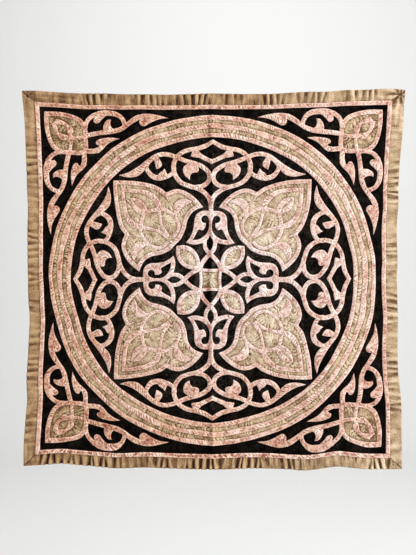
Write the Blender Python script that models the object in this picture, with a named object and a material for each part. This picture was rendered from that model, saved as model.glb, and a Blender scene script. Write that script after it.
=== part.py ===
"""A square wall hanging: cut cloth pieces sewn on a dark ground, inside a gathered border.

The panel is drawn flat, in millimetres from its centre, and then every piece is
hung: moved to the uneven outline and the soft folds that it takes on a wall.
Blender units are metres, +Z is up and the front faces -Y. The origin is the
middle of the top edge, where the hanging is held.
"""

import math

import bpy
import numpy as np
from mathutils import Vector
from mathutils.geometry import delaunay_2d_cdt

MM = 0.001

# Sizes of the flat panel, in millimetres
HALF = 500.0
BORDER = 31.5
STRIP = 10.5
FIELD = HALF - BORDER - STRIP
GROUND_THICK = 2.0
PATCH_THICK = 1.3
PATCH_LIFT = 0.8
GAP = 0.3
PALMETTE_RIM = 11.0
LEAF_RIM = 10.5
SQUARE_RIM = 8.0

# How finely the drawing is cut
LINE_STEP = 5.0
PLAIN_CHORD = 1.2
LONGEST_SIDE = 45.0
FILL_PITCH = 42.0
GROUND_COLUMNS = 26
GROUND_ROWS = 16
RING_SIDES = 52
EYE_SIDES = 20
RIM_END_SIDES = 16
SMALLEST_HOLE = 14.0
SAME_POINT = 0.001

# The ring's bands, as radii from the centre outward
RING_BANDS = (
    ("ring_pink_inner", 381.5, 394.0, "pink"),
    ("ring_tan_inner", 394.0, 404.0, "tan"),
    ("ring_pink_middle", 404.0, 420.0, "pink"),
    ("ring_tan_outer", 420.0, 429.0, "tan"),
    ("ring_pink_outer", 429.0, 441.5, "pink"),
)

# How far each edge of the hung panel strays from the square: (place along it, stray)
TOP_EDGE = ((-500, 1), (-480, 2), (-370, -5), (-275, -7), (-125, -10), (0, -7), (80, -9),
            (180, -7), (235, -3), (295, -2), (340, 2), (410, 4), (475, 6), (500, 2))
HEM_EDGE = ((-500, 4), (-400, 9), (-340, 3), (-260, -5), (-170, 0), (0, -8), (77, -3),
            (160, -4), (242, -10), (330, 3), (412, -6), (500, -6))
LEFT_EDGE = ((-500, -2), (-435, -1), (-387, 2), (-327, 8), (-269, 5), (-162, 11), (-110, 15),
             (-50, 10), (30, 7), (138, 6), (197, 9), (250, 6), (300, 4), (400, 0), (452, -4), (500, -9))
RIGHT_EDGE = ((-500, 3), (-410, 2), (-351, 2), (-269, -6), (-190, -9), (-104, -7), (-50, -11),
              (0, -12), (48, -9), (114, -12), (183, -8), (299, -4), (368, 1), (403, 5), (460, 8), (500, 12))

# A stray dies away across the panel with this power of the distance
STRAY_POWER = 3
# How far the panel's centre has slipped to the left
MIDDLE_SLIP = 7.0

# Upright folds: (pitch, place of a crest, depth at the top, depth at the hem)
FOLDS = ((430.0, -120.0, 0.6, 3.0), (265.0, 60.0, 0.4, 1.3))
# How far the side edges curl forward, and how late across the panel they start to
EDGE_CURL = 3.0
CURL_POWER = 4

# Gathers of each border strip: (how many, depth, plain length at the start, at the end)
GATHERS = {
    "top": (40, 1.6, 60.0, 170.0),
    "bottom": (54, 1.9, 30.0, 30.0),
    "left": (28, 0.7, 90.0, 40.0),
    "right": (30, 0.8, 40.0, 110.0),
}
# Waves that set the gathers unevenly: (share of a step, turn for each step, first turn)
GATHER_SWAYS = ((0.30, 2.4, 0.0), (0.18, 5.1, 1.0))
# How deep each gather is: (least share, more, turn for each step, first turn)
GATHER_SWELL = (0.75, 0.25, 0.9, 0.5)
TROUGH_SHARE = -0.5

# Straps of the four scrolls on the axes, drawn on one side of the axis.
# Each row is (across from the axis, out from the centre, width).
SCROLL_STRAPS = (
    ((-3, 371, 10), (22, 357, 12), (45, 351, 12), (66, 348, 12), (85, 339, 12), (98, 323, 12),
     (103, 302, 12), (98, 280, 12), (82, 260, 12), (60, 251, 12), (38, 245, 12), (19, 234, 12),
     (6, 219, 12), (0, 200, 12)),
    ((101, 331, 12), (86, 325, 12), (72, 319, 12), (56, 314, 12), (38, 309, 12), (22, 301, 12),
     (9, 289, 12), (5, 275, 12), (10, 261, 12), (24, 251, 12), (42, 248, 12)),
    ((92, 328, 12), (112, 336, 12), (132, 338, 12), (152, 331, 12), (170, 317, 13), (187, 300, 18),
     (203, 287, 21), (219, 281, 16), (233, 279, 9), (249, 279, 1)),
    ((101, 302, 11), (102, 291, 11), (109, 282, 11), (124, 275, 12), (142, 272, 14), (160, 276, 14),
     (172, 288, 12), (177, 302, 11), (170, 316, 11)),
    ((-4, 314, 11), (14, 323, 11), (30, 331, 12), (42, 341, 14), (48, 350, 14)),
    ((0, 189.15, 13), (0, 198, 13), (0, 208, 12)),
)
# Leaves are outlines of (across, out), sharp at their first point
SCROLL_LEAVES = (
    ((149, 296), (142, 299), (135, 305), (134, 313), (138, 321), (145, 330), (157, 330), (154, 318),
     (152, 307)),
    ((127, 299), (122, 288), (118, 276), (146, 276), (140, 287), (132, 292)),
    ((58, 267), (57, 279), (50, 286), (41, 287), (35, 291), (36, 300), (44, 309), (58, 314), (68, 309),
     (76, 301), (77, 290), (71, 277)),
    ((57, 331), (46, 328), (34, 328), (28, 334), (38, 347), (50, 348), (54, 340)),
)

# The star about the centre: straps beside each axis, drawn on one side of it
STAR_STRAPS = (
    ((29, 28, 11), (25, 37, 11), (18, 50, 11), (9, 61, 11), (-2, 72, 11), (-11, 84, 11), (-14, 97, 10),
     (-12, 109, 10), (-5, 121, 10), (2, 134, 10)),
    ((0, 122, 9), (0, 142, 8), (0, 165, 10), (0, 188.85, 13)),
)
STAR_LOBE = ((65, 99), (55, 111), (48, 127), (45, 145), (44, 160), (39, 173), (28, 181), (14, 183),
             (2, 181), (-3, 165), (-3, 145), (-2, 125), (4, 111), (14, 101), (26, 97), (40, 94), (53, 95))
STAR_SLIVER = ((47, 105), (30, 108), (13, 119), (5, 133), (4, 148), (6, 160), (13, 154), (14, 140),
               (21, 131), (31, 133), (37, 124))
STAR_EYE = (16, 160, 10)
STAR_LEAF = ((28, 28), (27, 47), (32, 65), (43, 80), (58, 89), (75, 92), (90.5, 90.5))
STAR_LEAF_MIDDLE = (60.0, 60.0)
# One side of the middle square
STAR_SQUARE = ((33, 33), (16, 30), (0, 29), (-16, 30), (-33, 33))

# Outline of a large palmette, from its outer tip to its inner tip, on one side of
# the diagonal. Each run of points is smooth and the runs meet in a point.
PALMETTE_RUNS = (
    ((265, 265), (236, 265), (204, 263), (166, 256), (138, 246), (121, 233)),
    ((121, 233), (103, 241), (84, 242), (58, 231), (37, 213), (21, 193)),
    ((21, 193), (38, 187), (52, 177), (62, 160), (67, 136), (78, 110), (94, 94)),
)
PALMETTE_MIDDLE = (160.0, 160.0)

# Outline of the cloth in each corner, in the same way, and its two arms
CORNER_RIM = 12.0
CORNER_MIDDLE = (390.0, 390.0)
CORNER_RUNS = (
    ((445, 445), (407, 446), (372, 440), (350, 430), (338, 416)),
    ((338, 416), (333, 398), (333, 376), (333, 354), (337, 337)),
)
ARM_STRAPS = (
    ((338, 384, 12), (308, 391, 12), (282, 395, 13), (259, 399, 13), (240, 407, 12), (224, 419, 12),
     (208, 430, 14), (194, 437, 14)),
    ((234, 410, 11), (236, 424, 11), (244, 437, 12), (259, 445, 14), (278, 447, 15), (298, 446, 14),
     (317, 439, 12), (330, 428, 11), (337, 414, 11), (338, 404, 11)),
    ((348, 344, 13), (332, 344, 13), (317, 344, 13), (303, 348, 13)),
)
ARM_LEAVES = (
    ((116, 435), (140, 442), (165, 446), (186, 445), (207, 437), (203, 427), (194, 430), (195, 422),
     (190, 414), (182, 412), (173, 417), (160, 425), (140, 433)),
    ((272, 446), (285, 437), (294, 429), (302, 420), (310, 418), (316, 424), (315, 434), (320, 445),
     (296, 448)),
    ((269, 429), (279, 428), (287, 419), (291, 407), (288, 394), (262, 399), (270, 410), (272, 420)),
    ((248, 378), (272, 380), (291, 378), (304, 374), (311, 368), (311, 362), (304, 358), (306, 350),
     (309, 338), (298, 344), (289, 353), (279, 363), (265, 371)),
)

QUARTERS = (("north", 0), ("west", 1), ("south", 2), ("east", 3))
CORNERS = (("ne", 0), ("nw", 1), ("sw", 2), ("se", 3))

# Linear base colour and roughness of each cloth
COLOURS = {
    "ground": ((0.012, 0.010, 0.008), 0.92),
    "pink": ((0.66, 0.40, 0.30), 0.85),
    "tan": ((0.48, 0.36, 0.24), 0.88),
    "khaki": ((0.40, 0.28, 0.17), 0.88),
}


# Drawing in the flat

def smooth_line(rows, step=LINE_STEP):
    """Even points along a smooth curve through the rows, whatever their columns are."""
    points = [Vector(row) for row in rows]
    knots = [0.0]
    for a, b in zip(points, points[1:]):
        knots.append(knots[-1] + math.hypot(b[0] - a[0], b[1] - a[1]))
    last = len(points) - 1
    slopes = []
    for i in range(last + 1):
        low, high = max(i - 1, 0), min(i + 1, last)
        slopes.append((points[high] - points[low]) / (knots[high] - knots[low]))
    line = [points[0]]
    for i in range(last):
        length = knots[i + 1] - knots[i]
        parts = max(1, round(length / step))
        for k in range(1, parts + 1):
            t = k / parts
            line.append(
                points[i] * (2 * t**3 - 3 * t**2 + 1)
                + slopes[i] * (length * (t**3 - 2 * t**2 + t))
                + points[i + 1] * (3 * t**2 - 2 * t**3)
                + slopes[i + 1] * (length * (t**3 - t**2))
            )
    return line


def side_points(line, i, reach):
    """The points on the left and the right of point i of a line."""
    a, b = line[max(i - 1, 0)], line[min(i + 1, len(line) - 1)]
    dx, dy = b[0] - a[0], b[1] - a[1]
    length = math.hypot(dx, dy)
    nx, ny = -dy / length * reach, dx / length * reach
    x, y = line[i][0], line[i][1]
    return (x + nx, y + ny), (x - nx, y - ny)


def strap(rows):
    """A strap as a row of triangles, from (x, y, width) rows of its middle line."""
    line = smooth_line(rows)
    sides = [side_points(line, i, p[2] / 2) for i, p in enumerate(line)]
    pieces = []
    for (l0, r0), (l1, r1) in zip(sides, sides[1:]):
        pieces += [(r0, r1, l1), (r0, l1, l0)]
    return pieces


def leaf(rows):
    """A leaf outline, smooth but for its first point."""
    return [(p[0], p[1]) for p in smooth_line([*rows, rows[0]])[:-1]]


def circle(x, z, radius, sides):
    turns = [k * math.tau / sides for k in range(sides)]
    return [(x + radius * math.cos(a), z + radius * math.sin(a)) for a in turns]


def runs_outline(runs, turned):
    """A closed outline from runs on one side of an axis and their mirror images."""
    half = []
    for run in runs:
        half += [(p[0], p[1]) for p in smooth_line(run)[:-1]]
    end = runs[-1][-1]
    other = [turned(p) for p in half[1:]]
    return [*half, end, *reversed(other)]


def swapped(point):
    return point[1], point[0]


def mirrored(point):
    return -point[0], point[1]


def both_sides(pieces, turned):
    """Pieces and their mirror images."""
    return [*pieces, *([turned(p) for p in piece] for piece in pieces)]


def quarter_turned(loops, turns):
    """Loops turned about the centre by quarter turns."""
    for _ in range(turns):
        loops = [[(-y, x) for x, y in loop] for loop in loops]
    return loops


def rim_of(outline, reach):
    """Shapes that cover all that is within reach of a closed outline."""
    closed = [*outline, outline[0]]
    shapes = []
    for a, b in zip(closed, closed[1:]):
        length = math.hypot(b[0] - a[0], b[1] - a[1])
        nx, ny = -(b[1] - a[1]) / length * reach, (b[0] - a[0]) / length * reach
        shapes.append(((a[0] + nx, a[1] + ny), (a[0] - nx, a[1] - ny),
                       (b[0] - nx, b[1] - ny), (b[0] + nx, b[1] + ny)))
        shapes.append(circle(*a, reach, RIM_END_SIDES))
    return shapes


def signed_area(loop):
    return sum(a[0] * b[1] - b[0] * a[1] for a, b in zip(loop, [*loop[1:], loop[0]])) / 2


# Cutting out

def covered(shape, places):
    """Which of the places lie inside a shape, by counting the sides that they are left of."""
    ring = np.array(shape)
    low, high = ring.min(axis=0), ring.max(axis=0)
    result = np.zeros(len(places), dtype=bool)
    close = np.flatnonzero(((places > low) & (places < high)).all(axis=1))
    x, z = places[close, 0], places[close, 1]
    found = result[close]
    for (ax, az), (bx, bz) in zip(ring, np.roll(ring, -1, axis=0)):
        if az != bz:
            found ^= ((az > z) != (bz > z)) & (x < (bx - ax) * (z - az) / (bz - az) + ax)
    result[close] = found
    return result


def triangles_of(rings, extra=()):
    """Points and triangles of a plane cut along every side of the rings."""
    points, sides = [], []
    for ring in rings:
        first = len(points)
        points += [Vector(p) for p in ring]
        sides += [(first + k, first + (k + 1) % len(ring)) for k in range(len(ring))]
    points += [Vector(p) for p in extra]
    places, _, triangles, *_ = delaunay_2d_cdt(points, sides, [], 0, SAME_POINT, False)
    places = np.array(places)
    triangles = np.array(triangles)
    return places, triangles, places[triangles].mean(axis=1)


def cut_out(shapes, wanted):
    """Outline loops of the triangles that wanted picks, from what covers each of them."""
    places, triangles, middles = triangles_of(shapes)
    chosen = wanted(np.array([covered(shape, middles) for shape in shapes]))
    onward = {(a, b) for t in triangles[chosen].tolist() for a, b in zip(t, (*t[1:], t[0]))}
    rim = {}
    for a, b in sorted(onward):
        if (b, a) not in onward:
            rim.setdefault(a, []).append(b)
    return [[tuple(places[i]) for i in loop] for loop in walked(rim)]


def walked(rim):
    """Closed loops of point numbers from a table of the next points."""
    loops = []
    while rim:
        start = next(iter(rim))
        loop, here = [], start
        while True:
            loop.append(here)
            following = rim[here]
            after = following.pop()
            if not following:
                del rim[here]
            here = after
            if here == start:
                break
        loops.append(loop)
    return loops


def thinned(loop, chord):
    """The loop with fewer points, none further than chord from the old line."""
    far = max(range(len(loop)), key=lambda i: math.dist(loop[i], loop[0]))
    halves = (loop[: far + 1], [*loop[far:], loop[0]])
    return [p for half in halves for p in kept_points(half, chord)[:-1]]


def kept_points(line, chord):
    """The points of a line that are needed to stay within chord of it."""
    a, b = line[0], line[-1]
    length = math.dist(a, b) or 1e-9
    dx, dy = (b[0] - a[0]) / length, (b[1] - a[1]) / length
    strays = [abs((p[0] - a[0]) * dy - (p[1] - a[1]) * dx) for p in line]
    far = max(range(len(line)), key=strays.__getitem__)
    if strays[far] <= chord:
        return [a, b]
    return kept_points(line[: far + 1], chord)[:-1] + kept_points(line[far:], chord)


def with_short_sides(loop, longest=LONGEST_SIDE):
    """The loop with its long sides divided, so that it can follow the folds."""
    result = []
    for a, b in zip(loop, [*loop[1:], loop[0]]):
        parts = math.ceil(math.dist(a, b) / longest)
        dx, dy = (b[0] - a[0]) / parts, (b[1] - a[1]) / parts
        result += [(a[0] + dx * k, a[1] + dy * k) for k in range(parts)]
    return result


def tidy_loops(loops):
    """Loops worth cutting, with only the points that their shape needs."""
    kept = [loop for loop in loops if abs(signed_area(loop)) > SMALLEST_HOLE]
    return [with_short_sides(thinned(loop, PLAIN_CHORD)) for loop in kept]


# Hanging

def stray(table, place):
    """How far an edge strays at a place along it, by straight steps of its table."""
    for (a, low), (b, high) in zip(table, table[1:]):
        if place <= b:
            return low + (high - low) * max(0.0, place - a) / (b - a)
    return table[-1][1]


def pull(place):
    """How much of an edge's stray reaches a place, from none at the far edge to all of it."""
    return ((place + HALF) / (2 * HALF)) ** STRAY_POWER


def slip(x, z):
    """How far a place has slipped to the left: all of it at the centre, none at the edges."""
    return MIDDLE_SLIP * max(0.0, 1.0 - (x * x + z * z) / HALF**2) ** 2


def fold_depth(x, z):
    """How far the cloth stands forward of its plane."""
    fall = (HALF - z) / (2 * HALF)
    depth = 0.0
    for pitch, crest, at_top, at_hem in FOLDS:
        depth += (at_top + (at_hem - at_top) * fall) * math.cos(math.tau * (x - crest) / pitch)
    return depth + EDGE_CURL * (abs(x) / HALF) ** CURL_POWER * math.sin(math.pi * fall)


TOP_MIDDLE = HALF + stray(TOP_EDGE, 0.0)
TOP_DEPTH = fold_depth(0.0, HALF)


def hung(x, z, forward):
    """The hung place, in metres, of a flat point that lies forward of the panel's back."""
    across = x - slip(x, z) + stray(RIGHT_EDGE, z) * pull(x) + stray(LEFT_EDGE, z) * pull(-x)
    up = z + stray(TOP_EDGE, x) * pull(z) + stray(HEM_EDGE, x) * pull(-z)
    depth = fold_depth(x, z) - TOP_DEPTH + forward
    return Vector((across * MM, -depth * MM, (up - TOP_MIDDLE) * MM))


# Making the solids

def cloth_material(kind):
    material = bpy.data.materials.get(kind + "_cloth")
    if material is None:
        material = bpy.data.materials.new(kind + "_cloth")
        material.use_nodes = True
        shader = material.node_tree.nodes["Principled BSDF"]
        colour, roughness = COLOURS[kind]
        shader.inputs["Base Color"].default_value = (*colour, 1.0)
        shader.inputs["Roughness"].default_value = roughness
        shader.inputs["Metallic"].default_value = 0.0
    return material


def add_node(name, kind, points, faces):
    mesh = bpy.data.meshes.new(name)
    mesh.from_pydata([tuple(p) for p in points], [], faces)
    mesh.materials.append(cloth_material(kind))
    piece = bpy.data.objects.new(name, mesh)
    bpy.context.scene.collection.objects.link(piece)
    return piece


def fill_points(loops, pitch):
    """Points on a grid that lie well inside the loops."""
    xs = [p[0] for loop in loops for p in loop]
    zs = [p[1] for loop in loops for p in loop]
    found = []
    for i in range(math.ceil(min(xs) / pitch), math.floor(max(xs) / pitch) + 1):
        for k in range(math.ceil(min(zs) / pitch), math.floor(max(zs) / pitch) + 1):
            x, z = (i + 0.5 * (k % 2)) * pitch, k * pitch
            near = min(math.hypot(p[0] - x, p[1] - z) for loop in loops for p in loop)
            if near > pitch * 0.5:
                found.append((x, z))
    return found


def add_patch(name, kind, loops):
    """A cut piece of cloth, bounded by loops, lying just in front of the ground."""
    places, triangles, middles = triangles_of(loops, fill_points(loops, FILL_PITCH))
    inside = np.logical_xor.reduce([covered(loop, middles) for loop in loops])
    triangles = triangles[inside]
    used, triangles = np.unique(triangles, return_inverse=True)
    triangles = [tuple(t) for t in triangles.reshape(-1, 3).tolist()]
    back = GROUND_THICK + PATCH_LIFT
    front = back + PATCH_THICK
    count = len(used)
    body = [hung(*places[i], front) for i in used]
    body += [hung(*places[i], back) for i in used]
    sides = {(a, b) for t in triangles for a, b in zip(t, (*t[1:], t[0]))}
    walls = [(a, a + count, b + count, b) for a, b in sides if (b, a) not in sides]
    backs = [tuple(i + count for i in reversed(t)) for t in triangles]
    return add_node(name, kind, body, [*triangles, *backs, *sorted(walls)])


def thick_row(row):
    """Back and front points of a row of (x, z, extra depth) points."""
    return [(hung(x, z, extra), hung(x, z, extra + GROUND_THICK)) for x, z, extra in row]


def along_chords(pairs, places):
    """Back and front points at places, from -1 to 1, on the straight steps between the pairs."""
    steps = len(pairs) - 1
    result = []
    for place in places:
        at = (place + 1) / 2 * steps
        k = min(int(at), steps - 1)
        result.append(tuple(a.lerp(b, at - k) for a, b in zip(pairs[k], pairs[k + 1])))
    return result


def add_sheet(name, kind, rows):
    """A closed sheet from rows of back and front points, all rows of one length."""
    columns = len(rows[0])
    back = [pair[0] for row in rows for pair in row]
    front = [pair[1] for row in rows for pair in row]
    count = len(front)
    faces = []
    for r in range(len(rows) - 1):
        for c in range(columns - 1):
            a, b = r * columns + c, r * columns + c + 1
            d, e = a + columns, b + columns
            faces.append((a, b, e, d))
            faces.append((d + count, e + count, b + count, a + count))
    rim = list(range(columns))
    rim += [r * columns + columns - 1 for r in range(1, len(rows))]
    rim += [(len(rows) - 1) * columns + c for c in range(columns - 2, -1, -1)]
    rim += [r * columns for r in range(len(rows) - 2, 0, -1)]
    for a, b in zip(rim, [*rim[1:], rim[0]]):
        faces.append((a, a + count, b + count, b))
    return add_node(name, kind, [*front, *back], faces)


def even_places(steps):
    return [-1 + 2 * k / steps for k in range(steps + 1)]


def add_ground():
    """The dark cloth that everything else is sewn on."""
    reach = FIELD - GAP / 2
    rows = []
    for z in even_places(GROUND_ROWS):
        rows.append(thick_row([(x * reach, z * reach, 0.0) for x in even_places(GROUND_COLUMNS)]))
    add_sheet("ground_panel", "ground", rows)


def side_row(side, distance, places, depths=None):
    """A flat row at a distance from the centre, along one side of the square."""
    reach = distance - GAP / 2
    depths = depths or [0.0] * len(places)
    turn = {
        "bottom": lambda s: (s * reach, -distance),
        "right": lambda s: (distance, s * reach),
        "top": lambda s: (-s * reach, distance),
        "left": lambda s: (-distance, -s * reach),
    }[side]
    return [(*turn(s), depth) for s, depth in zip(places, depths)]


def gather_places(side, knots):
    """Places of the ridges and troughs, from -1 to 1 along the strip, and their depths.

    The strip's seam bends at the knots, so each knot is one of the places.
    """
    count, depth, start, end = GATHERS[side]
    low, high = -1 + start / HALF, 1 - end / HALF
    rows = [(-1.0, 0.0), (low, 0.0), (high, 0.0), (1.0, 0.0)]
    steps = 2 * count
    least, more, turn, first = GATHER_SWELL
    for k in range(1, steps):
        sway = sum(share * math.sin(turns * k + start) for share, turns, start in GATHER_SWAYS)
        swell = least + more * math.sin(turn * k + first)
        way = 1.0 if k % 2 else TROUGH_SHARE
        rows.append((low + (high - low) * (k + sway) / steps, depth * swell * way))
    for knot in knots[1:-1]:
        near = min(rows[4:], key=lambda row: abs(row[0] - knot))
        if abs(near[0] - knot) < (high - low) / steps:
            rows.remove(near)
        else:
            near = (knot, 0.0)
        rows.append((knot, near[1]))
    rows.sort()
    return [row[0] for row in rows], [row[1] for row in rows]


def add_edges():
    """The gathered border and the narrow strip inside it, mitred at the corners."""
    seam = HALF - BORDER
    for side in GATHERS:
        steps = even_places(GROUND_COLUMNS if side in ("top", "bottom") else GROUND_ROWS)
        places, depths = gather_places(side, steps)
        outer = thick_row(side_row(side, HALF, places, depths))
        inner = along_chords(thick_row(side_row(side, seam + GAP / 2, steps)), places)
        add_sheet("border_" + side, "khaki", [outer, inner])
        edges = (seam - GAP / 2, FIELD + GAP / 2)
        add_sheet("strip_" + side, "pink", [thick_row(side_row(side, edge, steps)) for edge in edges])


def add_ring():
    """The five narrow bands of the ring, side by side."""
    for name, inner, outer, kind in RING_BANDS:
        edges = (outer - GAP / 2, inner + GAP / 2)
        add_patch(name, kind, [circle(0.0, 0.0, radius, RING_SIDES) for radius in edges])


def motif(straps, leaves, turned):
    """All the shapes of a pink motif and their mirror images."""
    pieces = [shape for rows in straps for shape in strap(rows)]
    pieces += [leaf(rows) for rows in leaves]
    return both_sides(pieces, turned)


def pink_bands(outlines, extra=(), holes=()):
    """Loops of the rims of the (outline, rim width) pairs, joined with extra shapes, less holes."""
    shapes, spans = [], []
    for outline, rim in outlines:
        near = rim_of(outline, rim)
        spans.append((len(shapes), len(shapes) + 1 + len(near)))
        shapes += [outline, *near]
    first_extra = len(shapes)
    first_hole = first_extra + len(extra)

    def wanted(covers):
        pink = covers[first_extra:first_hole].any(axis=0) & ~covers[first_hole:].any(axis=0)
        cloth = np.zeros_like(pink)
        for first, last in spans:
            inside, near = covers[first], covers[first + 1:last].any(axis=0)
            pink |= inside & near
            cloth |= inside & ~near
        return pink & ~cloth

    return tidy_loops(cut_out([*shapes, *extra, *holes], wanted))


def cloth_in_hole(loops, x, z):
    """The loop of a cloth that fills the smallest hole round a place, a gap away from its rim."""
    around = [loop for loop in loops if covered(loop, np.array([(x, z)]))[0]]
    hole = min(around, key=lambda loop: abs(signed_area(loop)))
    way = math.copysign(GAP, signed_area(hole))
    cloth = []
    for i, (bx, bz) in enumerate(hole):
        (ax, az), (cx, cz) = hole[i - 1], hole[(i + 1) % len(hole)]
        before, after = math.hypot(bx - ax, bz - az), math.hypot(cx - bx, cz - bz)
        in_x, in_z = (az - bz) / before + (bz - cz) / after, (bx - ax) / before + (cx - bx) / after
        reach = way * 2 / (in_x * in_x + in_z * in_z)
        cloth.append((bx + in_x * reach, bz + in_z * reach))
    return [cloth]


def add_quarters(name, kind, loops, quarters):
    for place, turns in quarters:
        add_patch(name + "_" + place, kind, quarter_turned(loops, turns))


def add_palmettes():
    """The four large palmettes on the diagonals: a pink rim round a tan cloth."""
    outline = runs_outline(PALMETTE_RUNS, swapped)
    rim = pink_bands([(outline, PALMETTE_RIM)])
    add_quarters("palmette_rim", "pink", rim, CORNERS)
    add_quarters("palmette_cloth", "tan", cloth_in_hole(rim, *PALMETTE_MIDDLE), CORNERS)


def add_corners():
    """The pink scrolls in the panel's corners, each round a tan cloth."""
    outline = runs_outline(CORNER_RUNS, swapped)
    scroll = pink_bands([(outline, CORNER_RIM)], motif(ARM_STRAPS, ARM_LEAVES, swapped))
    add_quarters("corner_scroll", "pink", scroll, CORNERS)
    add_quarters("corner_cloth", "tan", cloth_in_hole(scroll, *CORNER_MIDDLE), CORNERS)


def add_scrolls():
    """The four pink scrolls between the palmettes and the ring."""
    loops = pink_bands([], motif(SCROLL_STRAPS, SCROLL_LEAVES, mirrored))
    add_quarters("scroll", "pink", loops, QUARTERS)


def square_outline():
    """The middle square, whose sides bend in a little."""
    side = smooth_line(STAR_SQUARE)[:-1]
    return [p for turns in range(4) for p in quarter_turned([side], turns)[0]]


def add_star():
    """The pink star, with a tan leaf in each diagonal arm and a tan square in the middle."""
    arm = motif(STAR_STRAPS, [STAR_LOBE], mirrored)
    dark = both_sides([leaf(STAR_SLIVER), circle(*STAR_EYE, EYE_SIDES)], mirrored)
    arms = [shape for turns in range(4) for shape in quarter_turned(arm, turns)]
    holes = [shape for turns in range(4) for shape in quarter_turned(dark, turns)]
    leaf_outline = runs_outline((STAR_LEAF,), swapped)
    outlines = [(quarter_turned([leaf_outline], turns)[0], LEAF_RIM) for turns in range(4)]
    bands = pink_bands([*outlines, (square_outline(), SQUARE_RIM)], arms, holes)
    add_patch("star_bands", "pink", bands)
    for place, turns in CORNERS:
        middle = quarter_turned([[STAR_LEAF_MIDDLE]], turns)[0][0]
        add_patch("star_leaf_" + place, "tan", cloth_in_hole(bands, *middle))
    add_patch("star_square", "tan", cloth_in_hole(bands, 0.0, 0.0))


def main():
    for item in list(bpy.data.objects):
        bpy.data.objects.remove(item, do_unlink=True)
    add_ground()
    add_edges()
    add_ring()
    add_palmettes()
    add_corners()
    add_scrolls()
    add_star()


main()
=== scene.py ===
"""Sews up a hung applique panel: puckered straps and cloths on a woven ground, in a gathered border.

The pattern is drawn flat, in millimetres from the panel's centre, cut into fine
pieces of cloth, and then hung on the frame's own outline and folds. The front
faces -Y and +Z is up.
"""

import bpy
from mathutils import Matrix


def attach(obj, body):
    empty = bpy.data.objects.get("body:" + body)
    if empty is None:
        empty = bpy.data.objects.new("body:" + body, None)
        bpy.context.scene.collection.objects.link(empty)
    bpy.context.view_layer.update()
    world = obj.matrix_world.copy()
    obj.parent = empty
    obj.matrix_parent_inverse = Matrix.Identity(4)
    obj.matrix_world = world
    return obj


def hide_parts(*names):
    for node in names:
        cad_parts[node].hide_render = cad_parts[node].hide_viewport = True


bl_info = {
    "name": "Applique Wall Hanging",
    "version": (1, 0, 0),
    "blender": (4, 5, 0),
    "location": "3D View > Sidebar > Hanging",
    "description": "Cuts, puckers and gathers the cloth pieces of a hung applique panel",
    "category": "Add Mesh",
}

import math
from collections import namedtuple

import bpy
import numpy as np
from bpy.props import FloatProperty, FloatVectorProperty, PointerProperty
from mathutils import Vector, kdtree
from mathutils.geometry import delaunay_2d_cdt

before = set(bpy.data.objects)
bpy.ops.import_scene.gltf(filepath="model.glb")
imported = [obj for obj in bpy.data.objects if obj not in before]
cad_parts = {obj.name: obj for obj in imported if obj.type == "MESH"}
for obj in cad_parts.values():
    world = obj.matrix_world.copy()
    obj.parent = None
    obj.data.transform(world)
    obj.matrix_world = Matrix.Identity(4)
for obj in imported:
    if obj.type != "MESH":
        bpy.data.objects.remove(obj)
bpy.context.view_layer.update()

MM = 0.001

# Sizes of the flat panel, in millimetres
HALF = 500.0
BORDER = 31.5
STRIP = 10.5
GROUND_THICK = 2.0
SHEET_THICK = 1.0
PALMETTE_RIM = 11.0
LEAF_RIM = 10.5
SQUARE_RIM = 8.0
CORNER_RIM = 12.0

# How finely the drawing is cut
LINE_STEP = 2.5
FINE_CHORD = 0.06
LONGEST_SIDE = 2.4
GUIDE_STEP = 0.8
FILL_PITCH = 1.9
# How near a rim the points inside it may come, as shares of INNER_ROW and of FILL_PITCH
ROW_CLEARANCE = 0.8
FILL_CLEARANCE = 0.45
GROUND_STEP = 5.0
EDGE_STEP = 2.0
GUIDE_SIDES = 720
EYE_SIDES = 40
RIM_END_SIDES = 32
SMALLEST_HOLE = 14.0
SAME_POINT = 0.001
LUMP_CELLS = 256

# The ring's bands, as radii from the centre outward
RING_BANDS = (
    ("ring_pink_inner", 381.5, 394.0, "pink"),
    ("ring_tan_inner", 394.0, 404.0, "tan"),
    ("ring_pink_middle", 404.0, 420.0, "pink"),
    ("ring_tan_outer", 420.0, 429.0, "tan"),
    ("ring_pink_outer", 429.0, 441.5, "pink"),
)
RING_REACH = (RING_BANDS[0][1], RING_BANDS[-1][2])
# How far the seams between the bands lie towards the pink ones, and how far they wander
SEAM_SHIFT = {394.0: -1.0, 404.0: 1.0, 420.0: -1.3, 429.0: 1.3}
SEAM_WANDER = 1.8
SEAM_LUMPS = 38.0

# How far each edge of the hung panel strays from the square: (place along it, stray)
TOP_EDGE = ((-500, 1), (-480, 2), (-370, -5), (-275, -7), (-125, -10), (0, -7), (80, -9),
            (180, -7), (235, -3), (295, -2), (340, 2), (410, 4), (475, 6), (500, 2))
HEM_EDGE = ((-500, 4), (-400, 9), (-340, 3), (-260, -5), (-170, 0), (0, -8), (77, -3),
            (160, -4), (242, -10), (330, 3), (412, -6), (500, -6))
LEFT_EDGE = ((-500, -2), (-435, -1), (-387, 2), (-327, 8), (-269, 5), (-162, 11), (-110, 15),
             (-50, 10), (30, 7), (138, 6), (197, 9), (250, 6), (300, 4), (400, 0), (452, -4), (500, -9))
RIGHT_EDGE = ((-500, 3), (-410, 2), (-351, 2), (-269, -6), (-190, -9), (-104, -7), (-50, -11),
              (0, -12), (48, -9), (114, -12), (183, -8), (299, -4), (368, 1), (403, 5), (460, 8),
              (500, 12))
# How fast a stray dies away inward, and the length over which its corners are eased
STRAY_POWER = 3
STRAY_EASE = 14.0
# How far the centre has slipped to the left
MIDDLE_SLIP = 7.0
# Where the upright crease of the folded panel hangs
CREASE_PLACE = -3.0
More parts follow.
